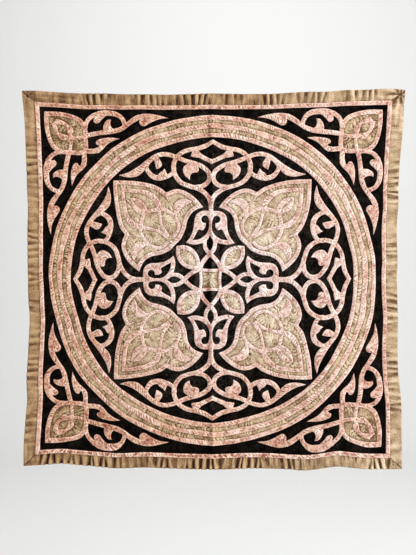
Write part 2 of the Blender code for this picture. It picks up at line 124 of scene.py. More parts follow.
# How far the hem's gathers have drawn the cloth up at each height: (height, rise)
DRAWN_UP = ((-500, 0.0), (-470, -1.5), (-457, -1.5), (-442, 5.0), (-350, 6.0), (-240, 0.0))

# Upright folds: (pitch, place of a crest, depth at the top, depth at the hem)
FOLDS = ((430.0, -120.0, 0.6, 3.0), (265.0, 60.0, 0.4, 1.3))
EDGE_CURL = 3.0
CURL_POWER = 4

# Gathers of each border strip: (how many, depth, plain length at the start, at the end)
GATHERS = {
    "top": (44, 2.4, 60.0, 125.0),
    "bottom": (54, 3.1, 30.0, 12.0),
    "left": (44, 1.5, 130.0, 40.0),
    "right": (46, 1.6, 18.0, 90.0),
}
# How unevenly the gathers are spaced, and how far they slant inward, as shares of their pitch
GATHER_SPREAD = 0.28
GATHER_SLANT = 0.40
# The length over which the gathers begin beside a plain stretch
GATHER_EASE = 25.0
GATHER_SEED = 60
# Rows of points across the border and its strip, as shares of their width from the outer edge
BORDER_ROWS = np.array([0.0, 0.02, 0.05, *np.linspace(0.1, 1.0, 13)])
STRIP_ROWS = np.array([0.0, 0.04, 0.1, 0.22, 0.36, 0.5, 0.64, 0.78, 0.9, 0.96, 1.0])
# How far cloths that meet at a seam run past it
SEAM_LAP = 0.5

# Straps of the four scrolls on the axes, drawn on one side of the axis.
# Each row is (across from the axis, out from the centre, width).
SCROLL_STRAPS = (
    ((-3, 371, 10), (22, 357, 12), (45, 351, 12), (66, 348, 12), (85, 339, 12), (98, 323, 12),
     (103, 302, 12), (98, 280, 12), (82, 260, 12), (60, 251, 12), (38, 245, 12), (19, 234, 12),
     (6, 219, 12), (0, 200, 12)),
    ((101, 331, 12), (86, 325, 12), (72, 319, 12), (56, 314, 12), (38, 309, 12), (22, 301, 12),
     (9, 289, 12), (5, 275, 12), (10, 261, 12), (24, 251, 12), (42, 248, 12)),
    ((92, 328, 12), (112, 336, 12), (132, 338, 12), (152, 331, 12), (170, 317, 13), (187, 300, 18),
     (203, 287, 21), (219, 281, 16), (233, 279, 9), (249, 279, 1)),
    ((101, 302, 11), (102, 291, 11), (109, 282, 11), (124, 275, 12), (142, 272, 14), (160, 276, 14),
     (172, 288, 12), (177, 302, 11), (170, 316, 11)),
    ((-4, 314, 11), (14, 323, 11), (30, 331, 12), (42, 341, 14), (48, 350, 14)),
    ((0, 189.15, 13), (0, 198, 13), (0, 208, 12)),
)
# Leaves are outlines of (across, out), sharp at their first point
SCROLL_LEAVES = (
    ((149, 296), (142, 299), (135, 305), (134, 313), (138, 321), (145, 330), (157, 330), (154, 318),
     (152, 307)),
    ((127, 299), (122, 288), (118, 276), (146, 276), (140, 287), (132, 292)),
    ((58, 267), (57, 279), (50, 286), (41, 287), (35, 291), (36, 300), (44, 309), (58, 314), (68, 309),
     (76, 301), (77, 290), (71, 277)),
    ((57, 331), (46, 328), (34, 328), (28, 334), (38, 347), (50, 348), (54, 340)),
)

# The star about the centre: straps beside each axis, drawn on one side of it
STAR_STRAPS = (
    ((29, 28, 11), (25, 37, 11), (18, 50, 11), (9, 61, 11), (-2, 72, 11), (-11, 84, 11), (-14, 97, 10),
     (-12, 109, 10), (-5, 121, 10), (2, 134, 10)),
    ((0, 122, 9), (0, 142, 8), (0, 165, 10), (0, 188.85, 13)),
)
STAR_LOBE = ((65, 99), (55, 111), (48, 127), (45, 145), (44, 160), (39, 173), (28, 181), (14, 183),
             (2, 181), (-3, 165), (-3, 145), (-2, 125), (4, 111), (14, 101), (26, 97), (40, 94), (53, 95))
STAR_SLIVER = ((47, 105), (30, 108), (13, 119), (5, 133), (4, 148), (6, 160), (13, 154), (14, 140),
               (21, 131), (31, 133), (37, 124))
STAR_EYE = (16, 160, 10)
STAR_LEAF = ((28, 28), (27, 47), (32, 65), (43, 80), (58, 89), (75, 92), (90.5, 90.5))
STAR_LEAF_MIDDLE = (60.0, 60.0)
# One side of the middle square
STAR_SQUARE = ((33, 33), (16, 30), (0, 29), (-16, 30), (-33, 33))

# Outline of a large palmette, from its outer tip to its inner tip, on one side of
# the diagonal. Each run of points is smooth and the runs meet in a point.
PALMETTE_RUNS = (
    ((265, 265), (236, 265), (204, 263), (166, 256), (138, 246), (121, 233)),
    ((121, 233), (103, 241), (84, 242), (58, 231), (37, 213), (21, 193)),
    ((21, 193), (38, 187), (52, 177), (62, 160), (67, 136), (78, 110), (94, 94)),
)
PALMETTE_MIDDLE = (160.0, 160.0)
# Narrow straps sewn on the palmette's cloth, on one side of the diagonal
PALMETTE_LINES = (
    ((243, 239, 10), (224, 239, 10), (203, 237, 11), (177, 233, 12), (158, 222, 15), (146, 208, 16),
     (141, 192, 13), (138, 175, 9), (134, 154, 8), (129, 139, 9), (121, 128, 10), (113, 115, 9)),
    ((177, 181, 9), (161, 186, 10), (147, 188, 11), (131, 190, 10), (115, 184, 9), (97, 170, 9),
     (87, 154, 9), (85, 140, 9), (90, 126, 9), (102, 114, 9)),
    ((98, 196, 9), (95, 182, 9), (93, 166, 8)),
    ((120, 234, 5), (119, 221, 4), (113, 209, 3)),
)
PALMETTE_BUDS = (
    ((217, 219), (204, 218), (190, 213), (179, 202), (173, 188), (175, 175), (188, 173), (202, 179),
     (213, 190), (218, 204)),
    ((50, 208), (60, 214), (74, 217), (90, 212), (100, 200), (99, 184), (90, 178), (82, 187),
     (73, 197), (62, 202)),
)
# The slit along the middle of a bud, through which the cloth shows
PALMETTE_SLIT = ((214, 214), (203, 199), (187, 187))

# Outline of the cloth in each corner, in the same way, and its two arms
CORNER_RUNS = (
    ((445, 445), (407, 446), (372, 440), (350, 430), (338, 416)),
    ((338, 416), (333, 398), (333, 376), (333, 354), (337, 337)),
)
CORNER_MIDDLE = (390.0, 390.0)
CORNER_LINES = (
    ((339, 382, 9), (354, 379, 9), (368, 377, 9), (382, 377, 9)),
    ((374, 378, 9), (381, 390, 10), (384, 402, 10), (391, 413, 10), (403, 420, 9), (416, 424, 8)),
)
CORNER_BUDS = (
    ((390, 370), (402, 371), (411, 381), (418, 395), (420, 420), (395, 396), (387, 382)),
)
CORNER_SLIT = ((412, 412), (408, 391), (384, 384))
ARM_STRAPS = (
    ((338, 384, 12), (308, 391, 12), (282, 395, 13), (259, 399, 13), (240, 407, 12), (224, 419, 12),
     (208, 430, 14), (194, 437, 14)),
    ((234, 410, 11), (236, 424, 11), (244, 437, 12), (259, 445, 14), (278, 447, 15), (298, 446, 14),
     (317, 439, 12), (330, 428, 11), (337, 414, 11), (338, 404, 11)),
    ((348, 344, 13), (332, 344, 13), (317, 344, 13), (303, 348, 13)),
)
ARM_LEAVES = (
    ((116, 435), (140, 442), (165, 446), (186, 445), (207, 437), (203, 427), (194, 430), (195, 422),
     (190, 414), (182, 412), (173, 417), (160, 425), (140, 433)),
    ((272, 446), (285, 437), (294, 429), (302, 420), (310, 418), (316, 424), (315, 434), (320, 445),
     (296, 448)),
    ((269, 429), (279, 428), (287, 419), (291, 407), (288, 394), (262, 399), (270, 410), (272, 420)),
    ((248, 378), (272, 380), (291, 378), (304, 374), (311, 368), (311, 362), (304, 358), (306, 350),
     (309, 338), (298, 344), (289, 353), (279, 363), (265, 371)),
)

QUARTERS = (("north", 0), ("west", 1), ("south", 2), ("east", 3))
CORNERS = (("ne", 0), ("nw", 1), ("sw", 2), ("se", 3))

# Heights of the cloths' edges above the ground's front, in millimetres
GROUND_FOOT = -0.5
CLOTH_FOOT = 0.8
# A narrow strap's edge, and how far the strap sinks into the cloth that it is sewn on
NARROW_FOOT = -0.3
NARROW_SINK = 0.6
# Width of a strap of cloth, folded
FOLDED_STRAP = 6.0
# How much further along its puckers each sewing line starts than the one before it
LINE_PHASE = 3.1
# Cloths whose edges or backs are free, so that they have a thickness
FREE_CLOTHS = ("ground", "khaki")
# How far in from a turned edge the cloth has risen to its full height
TURNED_EDGE = 2.2
# The row of points just inside a turned edge
INNER_ROW = 0.55
# How much lighter the border and its strip are painted along each side, as painted light
PAINTED_LIGHT_SIDES = {"top": 0.0, "bottom": 0.0, "left": 0.4, "right": 0.0}
# How strongly the strip's tone, mostly painted shade and highlight of its puckers, shows along each side
STRIP_SHADE_CONTRAST = {"top": 0.9, "bottom": 1.7, "left": 1.0, "right": 1.0}
# Pins that held the top corners: (across, up, how strongly the cloth is creased there)
PINS = ((-486.0, 484.0, 0.8), (488.0, 487.0, 2.4))
# How much darker the corner cloths, their rims, the middle square and the strips are
CORNER_CLOTH_DEPTH = 0.45
CORNER_RIM_DEPTH = 0.15
SQUARE_DEPTH = 0.5
STRIP_DEPTH = 0.2
# The round painted pool of light, where the cloth is painted lightest: its middle and its reach
LIGHT_POOL_MIDDLE = (15.0, 20.0)
LIGHT_POOL_REACH = 268.7

# 8-bit colours of each cloth: its painted shade in troughs and painted highlight on crests, and its
# trough, middle and crest colours within the painted pool of light
SHADED_AND_LIT_COLOURS = {
    "ground": ((0, 0, 0), (38, 31, 26), (1, 1, 0), (14, 11, 9), (92, 82, 72)),
    "pink": ((138, 70, 46), (255, 230, 212), (186, 126, 108), (232, 206, 198), (255, 246, 243)),
    "tan": ((88, 60, 32), (214, 188, 150), (126, 98, 66), (199, 176, 146), (240, 225, 204)),
    "khaki": ((64, 36, 14), (200, 166, 124), (106, 76, 46), (194, 167, 131), (236, 218, 190)),
}

# Finishes: (specular level, sheen, how strongly the fine and the broad blotches show)
GROUND_FINISH = (0.03, 0.0, 2.6, 0.35)
SEWN_FINISH = (0.22, 0.10, 1.5, 0.6)
# Threads and blotches, as texture scales, and the height of the weave in metres
THREAD_SCALE = 420.0
PATCH_SCALE = 26.0
WEAVE_HEIGHT = 0.0003

Cut = namedtuple("Cut", "places triangles edge foot along across area")


def shade(red, green, blue):
    """The linear colour of an 8-bit shade."""
    return tuple(
        c / 12.92 if c <= 0.04045 else ((c + 0.055) / 1.055) ** 2.4
        for c in (red / 255, green / 255, blue / 255)
    )


# Settings

def length_setting(name, description, default, least=0.0):
    return FloatProperty(name=name, description=description, default=default, min=least, unit="LENGTH")


def power_setting(name, description, default):
    return FloatProperty(name=name, description=description, default=default, min=0.0, unit="POWER")


def colour_setting(name, description, default):
    return FloatVectorProperty(name=name, description=description, default=default, size=3,
                               min=0.0, max=1.0, subtype="COLOR")


class HangingClothSettings(bpy.types.PropertyGroup):
    """Sizes and colours of the sewn cloth."""
    strap_rise: length_setting("Strap rise", "Height of a strap above the ground cloth", 0.0023)
    strap_pitch: length_setting("Strap pitch", "From one pucker of a strap to the next", 0.0078, 0.001)
    strap_pucker: length_setting("Strap puckers", "Height of a strap's puckers", 0.0010)
    cloth_rise: length_setting("Cloth puff", "Height to which a tan cloth puffs up", 0.0022)
    cloth_pitch: length_setting("Wrinkle pitch", "From one wrinkle of a cloth to the next", 0.0085, 0.001)
    cloth_wrinkle: length_setting("Wrinkle depth", "Height of the tan cloths' wrinkles", 0.0014)
    gather_scale: FloatProperty(name="Gathers", description="Depth of the border's gathers, as a share",
                                default=1.0, min=0.0, subtype="FACTOR")
    wobble: length_setting("Hand wobble", "How far hand sewing strays from the drawing", 0.0010)
    ground_colour: colour_setting("Ground", "Colour of the ground cloth", shade(5, 4, 3))
    pink_colour: colour_setting("Pink", "Colour of the straps", shade(218, 168, 140))
    tan_colour: colour_setting("Tan", "Colour of the inner cloths", shade(172, 140, 102))
    khaki_colour: colour_setting("Khaki", "Colour of the border", shade(148, 112, 76))


class HangingStageSettings(bpy.types.PropertyGroup):
    """The camera, the lights and the studio round the panel."""
    camera_distance: length_setting("Camera distance", "From the panel to the camera", 2.05, 0.1)
    lens: FloatProperty(name="Lens", description="Focal length in millimetres", default=50.0, min=1.0)
    key_power: power_setting("Key light", "Power of the light from the right", 112.0)
    fill_power: power_setting("Fill light", "Power of the light from the left", 19.0)
    backdrop_power: power_setting("Backdrop light", "Power of the light on the backdrop", 134.0)
    studio_colour: colour_setting("Studio", "Colour of the floor and backdrop", shade(236, 236, 234))


def cloth_settings():
    return bpy.context.scene.hanging_cloth


def in_mm(length):
    return length / MM


# Drawing in the flat

def smooth_line(rows, step=LINE_STEP):
    """Even points along a smooth curve through the rows, whatever their columns are."""
    points = [Vector(row) for row in rows]
    knots = [0.0]
    for a, b in zip(points, points[1:]):
        knots.append(knots[-1] + math.hypot(b[0] - a[0], b[1] - a[1]))
    last = len(points) - 1
    slopes = []
    for i in range(last + 1):
        low, high = max(i - 1, 0), min(i + 1, last)
        slopes.append((points[high] - points[low]) / (knots[high] - knots[low]))
    line = [points[0]]
    for i in range(last):
        length = knots[i + 1] - knots[i]
        parts = max(1, round(length / step))
        for k in range(1, parts + 1):
            t = k / parts
            line.append(
                points[i] * (2 * t**3 - 3 * t**2 + 1)
                + slopes[i] * (length * (t**3 - 2 * t**2 + t))
                + points[i + 1] * (3 * t**2 - 2 * t**3)
                + slopes[i + 1] * (length * (t**3 - t**2))
            )
    return line


def flat_line(rows):
    """A smooth line through the rows, as (x, z) points."""
    return [(p[0], p[1]) for p in smooth_line(rows)]


def side_points(line, i, reach):
    """The points on the left and the right of point i of a line."""
    a, b = line[max(i - 1, 0)], line[min(i + 1, len(line) - 1)]
    dx, dy = b[0] - a[0], b[1] - a[1]
    length = math.hypot(dx, dy)
    nx, ny = -dy / length * reach, dx / length * reach
    x, y = line[i][0], line[i][1]
    return (x + nx, y + ny), (x - nx, y - ny)


def strap(rows):
    """A strap as a row of triangles, from (x, y, width) rows of its middle line."""
    line = smooth_line(rows)
    sides = [side_points(line, i, p[2] / 2) for i, p in enumerate(line)]
    pieces = []
    for (l0, r0), (l1, r1) in zip(sides, sides[1:]):
        pieces += [(r0, r1, l1), (r0, l1, l0)]
    return pieces


def leaf(rows):
    """A leaf outline, smooth but for its first point."""
    return flat_line([*rows, rows[0]])[:-1]


def circle(x, z, radius, sides):
    turns = [k * math.tau / sides for k in range(sides)]
    return [(x + radius * math.cos(a), z + radius * math.sin(a)) for a in turns]


def runs_outline(runs, turned):
    """A closed outline from runs on one side of an axis and their mirror images."""
    half = []
    for run in runs:
        half += flat_line(run)[:-1]
    other = [turned(p) for p in half[1:]]
    return [*half, runs[-1][-1], *reversed(other)]


def swapped(point):
    return point[1], point[0]


def mirrored(point):
    return -point[0], point[1]


def both_sides(pieces, turned):
    """Pieces and their mirror images."""
    return [*pieces, *([turned(p) for p in piece] for piece in pieces)]


def quarter_turned(loops, turns):
    """Loops turned about the centre by quarter turns."""
    for _ in range(turns):
        loops = [[(-y, x) for x, y in loop] for loop in loops]
    return loops


def in_quarters(loops):
    """The loops and their three quarter turns."""
    return [loop for turns in range(4) for loop in quarter_turned(loops, turns)]


def rim_of(runs, reach):
    """Shapes that cover all that is within reach of an outline's runs."""
    bands = [shape for run in runs for shape in strap([(x, z, 2 * reach) for x, z in run])]
    return bands + [circle(*run[end], reach, RIM_END_SIDES) for run in runs for end in (0, -1)]


def signed_area(loop):
    x, z = np.array(loop).T
    return float(np.sum(x * np.roll(z, -1) - np.roll(x, -1) * z)) / 2


def anticlockwise(loop):
    return list(loop) if signed_area(loop) > 0 else list(reversed(loop))


# Cutting out

def covered(shape, places):
    """Which of the places lie inside a shape, by counting the sides that they are left of."""
    ring = np.array(shape)
    low, high = ring.min(axis=0), ring.max(axis=0)
    result = np.zeros(len(places), dtype=bool)
    close = np.flatnonzero(((places > low) & (places < high)).all(axis=1))
    x, z = places[close, 0], places[close, 1]
    found = result[close]
    for (ax, az), (bx, bz) in zip(ring, np.roll(ring, -1, axis=0)):
        if az != bz:
            found ^= ((az > z) != (bz > z)) & (x < (bx - ax) * (z - az) / (bz - az) + ax)
    result[close] = found
    return result


def triangles_of(rings, extra=()):
    """Points and triangles of a plane cut along every side of the rings."""
    points, sides = [], []
    for ring in rings:
        first = len(points)
        points += [Vector(p) for p in ring]
        sides += [(first + k, first + (k + 1) % len(ring)) for k in range(len(ring))]
    points += [Vector(p) for p in extra]
    places, _, triangles, *_ = delaunay_2d_cdt(points, sides, [], 0, SAME_POINT, False)
    places = np.array(places)
    triangles = np.array(triangles)
    return places, triangles, places[triangles].mean(axis=1)


def cut_out(shapes, wanted):
    """Outline loops of the triangles that wanted picks, from what covers each of them."""
    places, triangles, middles = triangles_of(shapes)
    chosen = wanted(np.array([covered(shape, middles) for shape in shapes]))
    onward = {(a, b) for t in triangles[chosen].tolist() for a, b in zip(t, (*t[1:], t[0]))}
    rim = {}
    for a, b in sorted(onward):
        if (b, a) not in onward:
            rim.setdefault(a, []).append(b)
    return [[tuple(places[i]) for i in loop] for loop in walked(rim)]


def walked(rim):
    """Closed loops of point numbers from a table of the next points."""
    loops = []
    while rim:
        start = next(iter(rim))
        loop, here = [], start
        while True:
            loop.append(here)
            following = rim[here]
            after = following.pop()
            if not following:
                del rim[here]
            here = after
            if here == start:
                break
        loops.append(loop)
    return loops


def thinned(loop, chord):
    """The loop with fewer points, none further than chord from the old line."""
    far = max(range(len(loop)), key=lambda i: math.dist(loop[i], loop[0]))
    halves = (loop[: far + 1], [*loop[far:], loop[0]])
    return [p for half in halves for p in kept_points(half, chord)[:-1]]


def kept_points(line, chord):
    """The points of a line that are needed to stay within chord of it."""
    a, b = line[0], line[-1]
    length = math.dist(a, b) or 1e-9
    dx, dy = (b[0] - a[0]) / length, (b[1] - a[1]) / length
    strays = [abs((p[0] - a[0]) * dy - (p[1] - a[1]) * dx) for p in line]
    far = max(range(len(line)), key=strays.__getitem__)
    if strays[far] <= chord:
        return [a, b]
    return kept_points(line[: far + 1], chord)[:-1] + kept_points(line[far:], chord)


def with_short_sides(loop, longest=LONGEST_SIDE):
    """The loop with its long sides divided, so that it can follow the puckers."""
    result = []
    for a, b in zip(loop, [*loop[1:], loop[0]]):
        parts = math.ceil(math.dist(a, b) / longest)
        dx, dy = (b[0] - a[0]) / parts, (b[1] - a[1]) / parts
        result += [(a[0] + dx * k, a[1] + dy * k) for k in range(parts)]
    return result


def tidy_loops(loops):
    """Loops worth cutting, with only the points that their shape and puckers need."""
    kept = [loop for loop in loops if abs(signed_area(loop)) > SMALLEST_HOLE]
    return [with_short_sides(thinned(loop, FINE_CHORD)) for loop in kept]


def pink_bands(outlines, extra=(), holes=()):
    """Loops of the rims of the (outline, rim shapes) pairs, joined with extra shapes, less holes."""
    shapes, spans = [], []
    for outline, near in outlines:
        spans.append((len(shapes), len(shapes) + 1 + len(near)))
        shapes += [outline, *near]
    first_extra = len(shapes)
    first_hole = first_extra + len(extra)

    def wanted(covers):
        pink = covers[first_extra:first_hole].any(axis=0) & ~covers[first_hole:].any(axis=0)
        cloth = np.zeros_like(pink)
        for first, last in spans:
            inside, near = covers[first], covers[first + 1:last].any(axis=0)
            pink |= inside & near
            cloth |= inside & ~near
        return pink & ~cloth

    return tidy_loops(cut_out([*shapes, *extra, *holes], wanted))


def hole_round(loops, place):
    """The smallest loop round a place."""
    around = [loop for loop in loops if covered(loop, np.array([place]))[0]]
    return min(around, key=lambda loop: abs(signed_area(loop)))


def within(loops, places):
    """Which of the places lie inside the loops and outside their holes."""
    return np.logical_xor.reduce([covered(loop, places) for loop in loops])


# Following the sewing

def even_points(line, closed):
    """Close, even points along a line, and how far along it each lies."""
    ring = np.array([*line, line[0]] if closed else line)
    way = np.concatenate(([0.0], np.cumsum(np.hypot(*np.diff(ring, axis=0).T))))
    at = np.linspace(0.0, way[-1], max(3, int(way[-1] / GUIDE_STEP)))
    return np.stack((np.interp(at, way, ring[:, 0]), np.interp(at, way, ring[:, 1])), axis=1), at


def nearest(lines, places):
    """The number of the nearest of the lines' points to each place, and its distance."""
    points = np.concatenate(lines)
    tree = kdtree.KDTree(len(points))
    for i, (x, z) in enumerate(points.tolist()):
        tree.insert((x, z, 0.0), i)
    tree.balance()
    found = np.array([tree.find((x, z, 0.0))[1:] for x, z in places.tolist()])
    return found[:, 0].astype(int), found[:, 1]


def along_lines(lines, places):
    """How far along and across its nearest sewing line each place lies.

    A sewing line is (points, whether closed, how far the strap's middle lies inside it).
    """
    points, ways, tangents, middles = [], [], [], []
    for number, (line, closed, middle) in enumerate(lines):
        dense, way = even_points(line, closed)
        points.append(dense)
        ways.append(way + LINE_PHASE * number)
        tangent = np.gradient(dense, axis=0)
        tangents.append(tangent / np.linalg.norm(tangent, axis=1, keepdims=True))
        middles.append(np.full(len(dense), middle))
    number, _ = nearest(points, places)
    offset = places - np.concatenate(points)[number]
    tangent = np.concatenate(tangents)[number]
    along = np.concatenate(ways)[number] + (offset * tangent).sum(axis=1)
    across = tangent[:, 0] * offset[:, 1] - tangent[:, 1] * offset[:, 0]
    return along, across - np.concatenate(middles)[number]


def inner_row(loop, reach):
    """Points a little inside a loop that has its cloth on the left."""
    here = np.array(loop)
    before, after = here - np.roll(here, 1, axis=0), np.roll(here, -1, axis=0) - here
    way = sum(side / np.linalg.norm(side, axis=1, keepdims=True) for side in (before, after))
    # At a sharp point the two ways all but cancel out
    way = way / np.maximum(np.linalg.norm(way, axis=1, keepdims=True), 0.2)
    return here + np.stack((-way[:, 1], way[:, 0]), axis=1) * reach


def fill_grid(loops, pitch):
    """Points on an even grid of triangles over the box round the loops."""
    every = np.concatenate([np.array(loop) for loop in loops])
    low, high = every.min(axis=0), every.max(axis=0)
    row_pitch = pitch * math.sqrt(0.75)
    points = []
    for k in range(math.ceil(low[1] / row_pitch), math.floor(high[1] / row_pitch) + 1):
        x = np.arange(math.ceil(low[0] / pitch), math.floor(high[0] / pitch) + 1) * pitch
        points.append(np.stack((x + 0.5 * (k % 2) * pitch, np.full(len(x), k * row_pitch)), axis=1))
    return np.concatenate(points)


def cut_cloth(loops, feet, lines):
    """A flat piece inside the loops, and where each of its points lies in its sewing."""
    rims = [even_points(loop, True)[0] for loop in loops]
    rows = np.concatenate([inner_row(loop, INNER_ROW) for loop in loops])
    rows = rows[nearest(rims, rows)[1] > INNER_ROW * ROW_CLEARANCE]
    fill = fill_grid(loops, FILL_PITCH)
    fill = fill[within(loops, fill)]
    fill = fill[nearest(rims, fill)[1] > INNER_ROW + FILL_PITCH * FILL_CLEARANCE]
    places, triangles, middles = triangles_of(loops, [*rows.tolist(), *fill.tolist()])
    used, triangles = np.unique(triangles[within(loops, middles)], return_inverse=True)
    triangles = triangles.reshape(-1, 3)
    places = places[used]
    number, edge = nearest(rims, places)
    foot = np.concatenate([np.full(len(rim), level) for rim, level in zip(rims, feet)])[number]
    along, across = along_lines(lines, places)
    area = abs(sum(signed_area(loop) for loop in loops))
    return Cut(places, triangles, edge, foot, along, across, area)


# Unevenness and easing

def unit(value):
    """A value held between 0 and 1."""
    return np.clip(value, 0.0, 1.0)


def hump(distance, reach):
    """A smooth hump, 1 where the distance is 0 and almost nothing at twice the reach."""
    return np.exp(-((distance / reach) ** 2))


def fading(distance, reach):
    """A fading from 1 where the distance is 0 to almost nothing at four times the reach."""
    return np.exp(-distance / reach)


def rightward(places, middle, reach):
    """A share that grows from 0 to 1 towards the right, about a middle."""
    return 1.0 / (1.0 + np.exp(-(places[:, 0] - middle) / reach))


def lumps(x, z, seed):
    """Smooth random unevenness, mostly from -1 to 1, with lumps one unit across."""
    table = np.random.default_rng(seed).uniform(-1.5, 1.5, (LUMP_CELLS, LUMP_CELLS))
    i, k = np.floor(x).astype(int), np.floor(z).astype(int)
    u, v = x - i, z - k
    u, v = u * u * (3 - 2 * u), v * v * (3 - 2 * v)
    i, k, right, up = i % LUMP_CELLS, k % LUMP_CELLS, (i + 1) % LUMP_CELLS, (k + 1) % LUMP_CELLS
    low = table[i, k] * (1 - u) + table[right, k] * u
    high = table[i, up] * (1 - u) + table[right, up] * u
    return low * (1 - v) + high * v


def ripple(places, size, seed):
    """Smooth random unevenness of flat places, with lumps of one size in mm."""
    x, z = places[:, 0] / size, places[:, 1] / size
    return lumps(0.8 * x - 0.6 * z, 0.6 * x + 0.8 * z, seed)


def puckers(way):
    """Rounded ridges between narrow pulled-in troughs, from -1 to 1, one for each unit of way."""
    return 2.0 * np.abs(np.sin(math.pi * way)) ** 0.8 - 1.1


def rounded(reach):
    """The rise of a turned edge, from 0 at its foot to 1."""
    return np.sqrt(1.0 - (1.0 - unit(reach)) ** 2)


# Hanging

def stray(table, place):
    """How far an edge strays at places along it, with its corners eased."""
    at, reach = np.array(table, dtype=float).T
    eased = [np.interp(place + shift, at, reach) for shift in (-STRAY_EASE, 0.0, STRAY_EASE)]
    return (eased[0] + 2 * eased[1] + eased[2]) / 4


def pull(place):
    """How much of an edge's stray reaches a place, from none at the far edge to all of it."""
    return ((place + HALF) / (2 * HALF)) ** STRAY_POWER


def slip(x, z):
    """How far a place has slipped to the left: all of it at the centre, none at the edges."""
    return MIDDLE_SLIP * np.maximum(0.0, 1.0 - (x * x + z * z) / HALF**2) ** 2


def drawn_up(z):
    """How far the gathered hem has drawn the cloth above it up."""
    heights, rises = np.array(DRAWN_UP, dtype=float).T
    return np.interp(z, heights, rises)


def fold_depth(x, z):
    """How far the cloth stands forward of its plane."""
    fall = (HALF - z) / (2 * HALF)
    depth = 0.0
    for pitch, crest, at_top, at_hem in FOLDS:
        depth = depth + (at_top + (at_hem - at_top) * fall) * np.cos(math.tau * (x - crest) / pitch)
    return depth + EDGE_CURL * (np.abs(x) / HALF) ** CURL_POWER * np.sin(math.pi * fall)


def past_crease(x, z):
    """How far a place lies to the right of the upright storage crease, which wanders a little."""
    return x - CREASE_PLACE - 1.5 * lumps(z / 90.0, z / 400.0, 24)


def storage_creases(x, z):
    """The sharp creases left by folding the panel in four, and the ripples beside the upright one."""
    inside = unit((HALF - np.maximum(np.abs(x), np.abs(z))) / 60.0)
    off = past_crease(x, z)
    upright = 2.4 * fading(np.abs(off), 6.0) - 1.6 * hump(off + 13.0, 8.0)
    level = 0.6 * fading(np.abs(z - 2.0), 4.0)
    ripples = 1.2 * lumps(x / 14.0, z / 80.0, 23) * (0.25 + 0.75 * hump(x - CREASE_PLACE, 110.0))
    return (upright + level + ripples) * inside


def crease_shade(x, z):
    """Painted shade and highlight of the storage crease: painted shade on its left, a painted highlight
    on its right, and painted light and dark upright bands about the middle.
    """
    off = past_crease(x, z)
    strength = np.clip(0.75 + 0.5 * lumps(z / 45.0, z / 700.0, 25), 0.2, 1.2) * (1.2 - np.abs(z) / HALF)
    near = hump(np.hypot(x - CREASE_PLACE, z), 59.4)
    bands = near * (0.7 * lumps(x / 7.0, z / 70.0, 26) - 0.25 * unit(-off / 10.0))
    return (0.40 * hump(off - 4.0, 4.0) - 0.75 * hump(off + 8.0, 6.0)) * strength + bands


TOP_MIDDLE = HALF + dict(TOP_EDGE)[0]
TOP_DEPTH = float(fold_depth(0.0, HALF))


def hung(places, rise):
    """The hung places, in metres, of flat points that rise from the ground cloth's front."""
    wobble = in_mm(cloth_settings().wobble)
    x = places[:, 0] + wobble * ripple(places, 60.0, 21)
    z = places[:, 1] + wobble * ripple(places, 60.0, 22)
    across = x - slip(x, z) + stray(RIGHT_EDGE, z) * pull(x) + stray(LEFT_EDGE, z) * pull(-x)
    up = z + stray(TOP_EDGE, x) * pull(z) + stray(HEM_EDGE, x) * pull(-z) + drawn_up(z)
    depth = fold_depth(x, z) - TOP_DEPTH + GROUND_THICK + rise + storage_creases(across, up)
    return np.stack((across, -depth, up - TOP_MIDDLE), axis=1) * MM


# Finishes

def new_finish(name):
    """A new rough material, its node tree and its shader."""
    material = bpy.data.materials.new(name)
    material.use_nodes = True
    shader = material.node_tree.nodes["Principled BSDF"]
    shader.inputs["Roughness"].default_value = 0.9
    return material, material.node_tree, shader


def fill_socket(tree, socket, value):
    """Links a socket to another node's result, or sets it to a plain value."""
    if isinstance(value, bpy.types.NodeSocket):
        tree.links.new(value, socket)
    else:
        socket.default_value = value


def new_node(tree, kind, x, y, **values):
    """A shader node at a place in the tree, with its named inputs and settings filled in."""
    node = tree.nodes.new(kind)
    node.location = (x, y)
    for name, value in values.items():
        plain = name.replace("_", " ").title()
        if plain in node.inputs:
            fill_socket(tree, node.inputs[plain], value)
        else:
            setattr(node, name, value)
    return node


def worked_out(tree, operation, x, y, *values, use_clamp=False):
    """The result of a Math node on numbers or on other nodes' results."""
    node = new_node(tree, "ShaderNodeMath", x, y, operation=operation, use_clamp=use_clamp)
    for socket, value in zip(node.inputs, values):
        fill_socket(tree, socket, value)
    return node.outputs[0]


def blotches(tree, y, place, scale, detail, roughness):
    """Soft random blotches of one size on the cloth, from 0 to 1."""
    noise = new_node(tree, "ShaderNodeTexNoise", -1100, y, Vector=place, Scale=scale, Detail=detail,
                     Roughness=roughness)
    return noise.outputs["Fac"]


def threads(tree, y, place, direction):
    """The threads that lie one way in the weave, from 0 to 1."""
    wave = new_node(tree, "ShaderNodeTexWave", -1100, y, bands_direction=direction, Vector=place,
                    Scale=THREAD_SCALE, Distortion=1.2)
    return wave.outputs["Fac"]


def finish_colours(kind):
    """The colours of a cloth painted shaded in its troughs, plain, and painted lit on its crests, and the
    same three within the painted pool of light.
    """
    trough, crest, *inside_pool_colours = SHADED_AND_LIT_COLOURS[kind]
    middle = tuple(getattr(cloth_settings(), kind + "_colour"))
    return (shade(*trough), middle, shade(*crest)), [shade(*colour) for colour in inside_pool_colours]


def colour_ramp(tree, level, colours, x, y):
    """A ramp over the colours, driven by a level."""
    ramp = new_node(tree, "ShaderNodeValToRGB", x, y, Fac=level)
    low, middle, high = colours
    ramp.color_ramp.elements[0].color = (*low, 1.0)
    ramp.color_ramp.elements[1].color = (*high, 1.0)
    ramp.color_ramp.elements.new(0.5).color = (*middle, 1.0)
    return ramp.outputs["Color"]


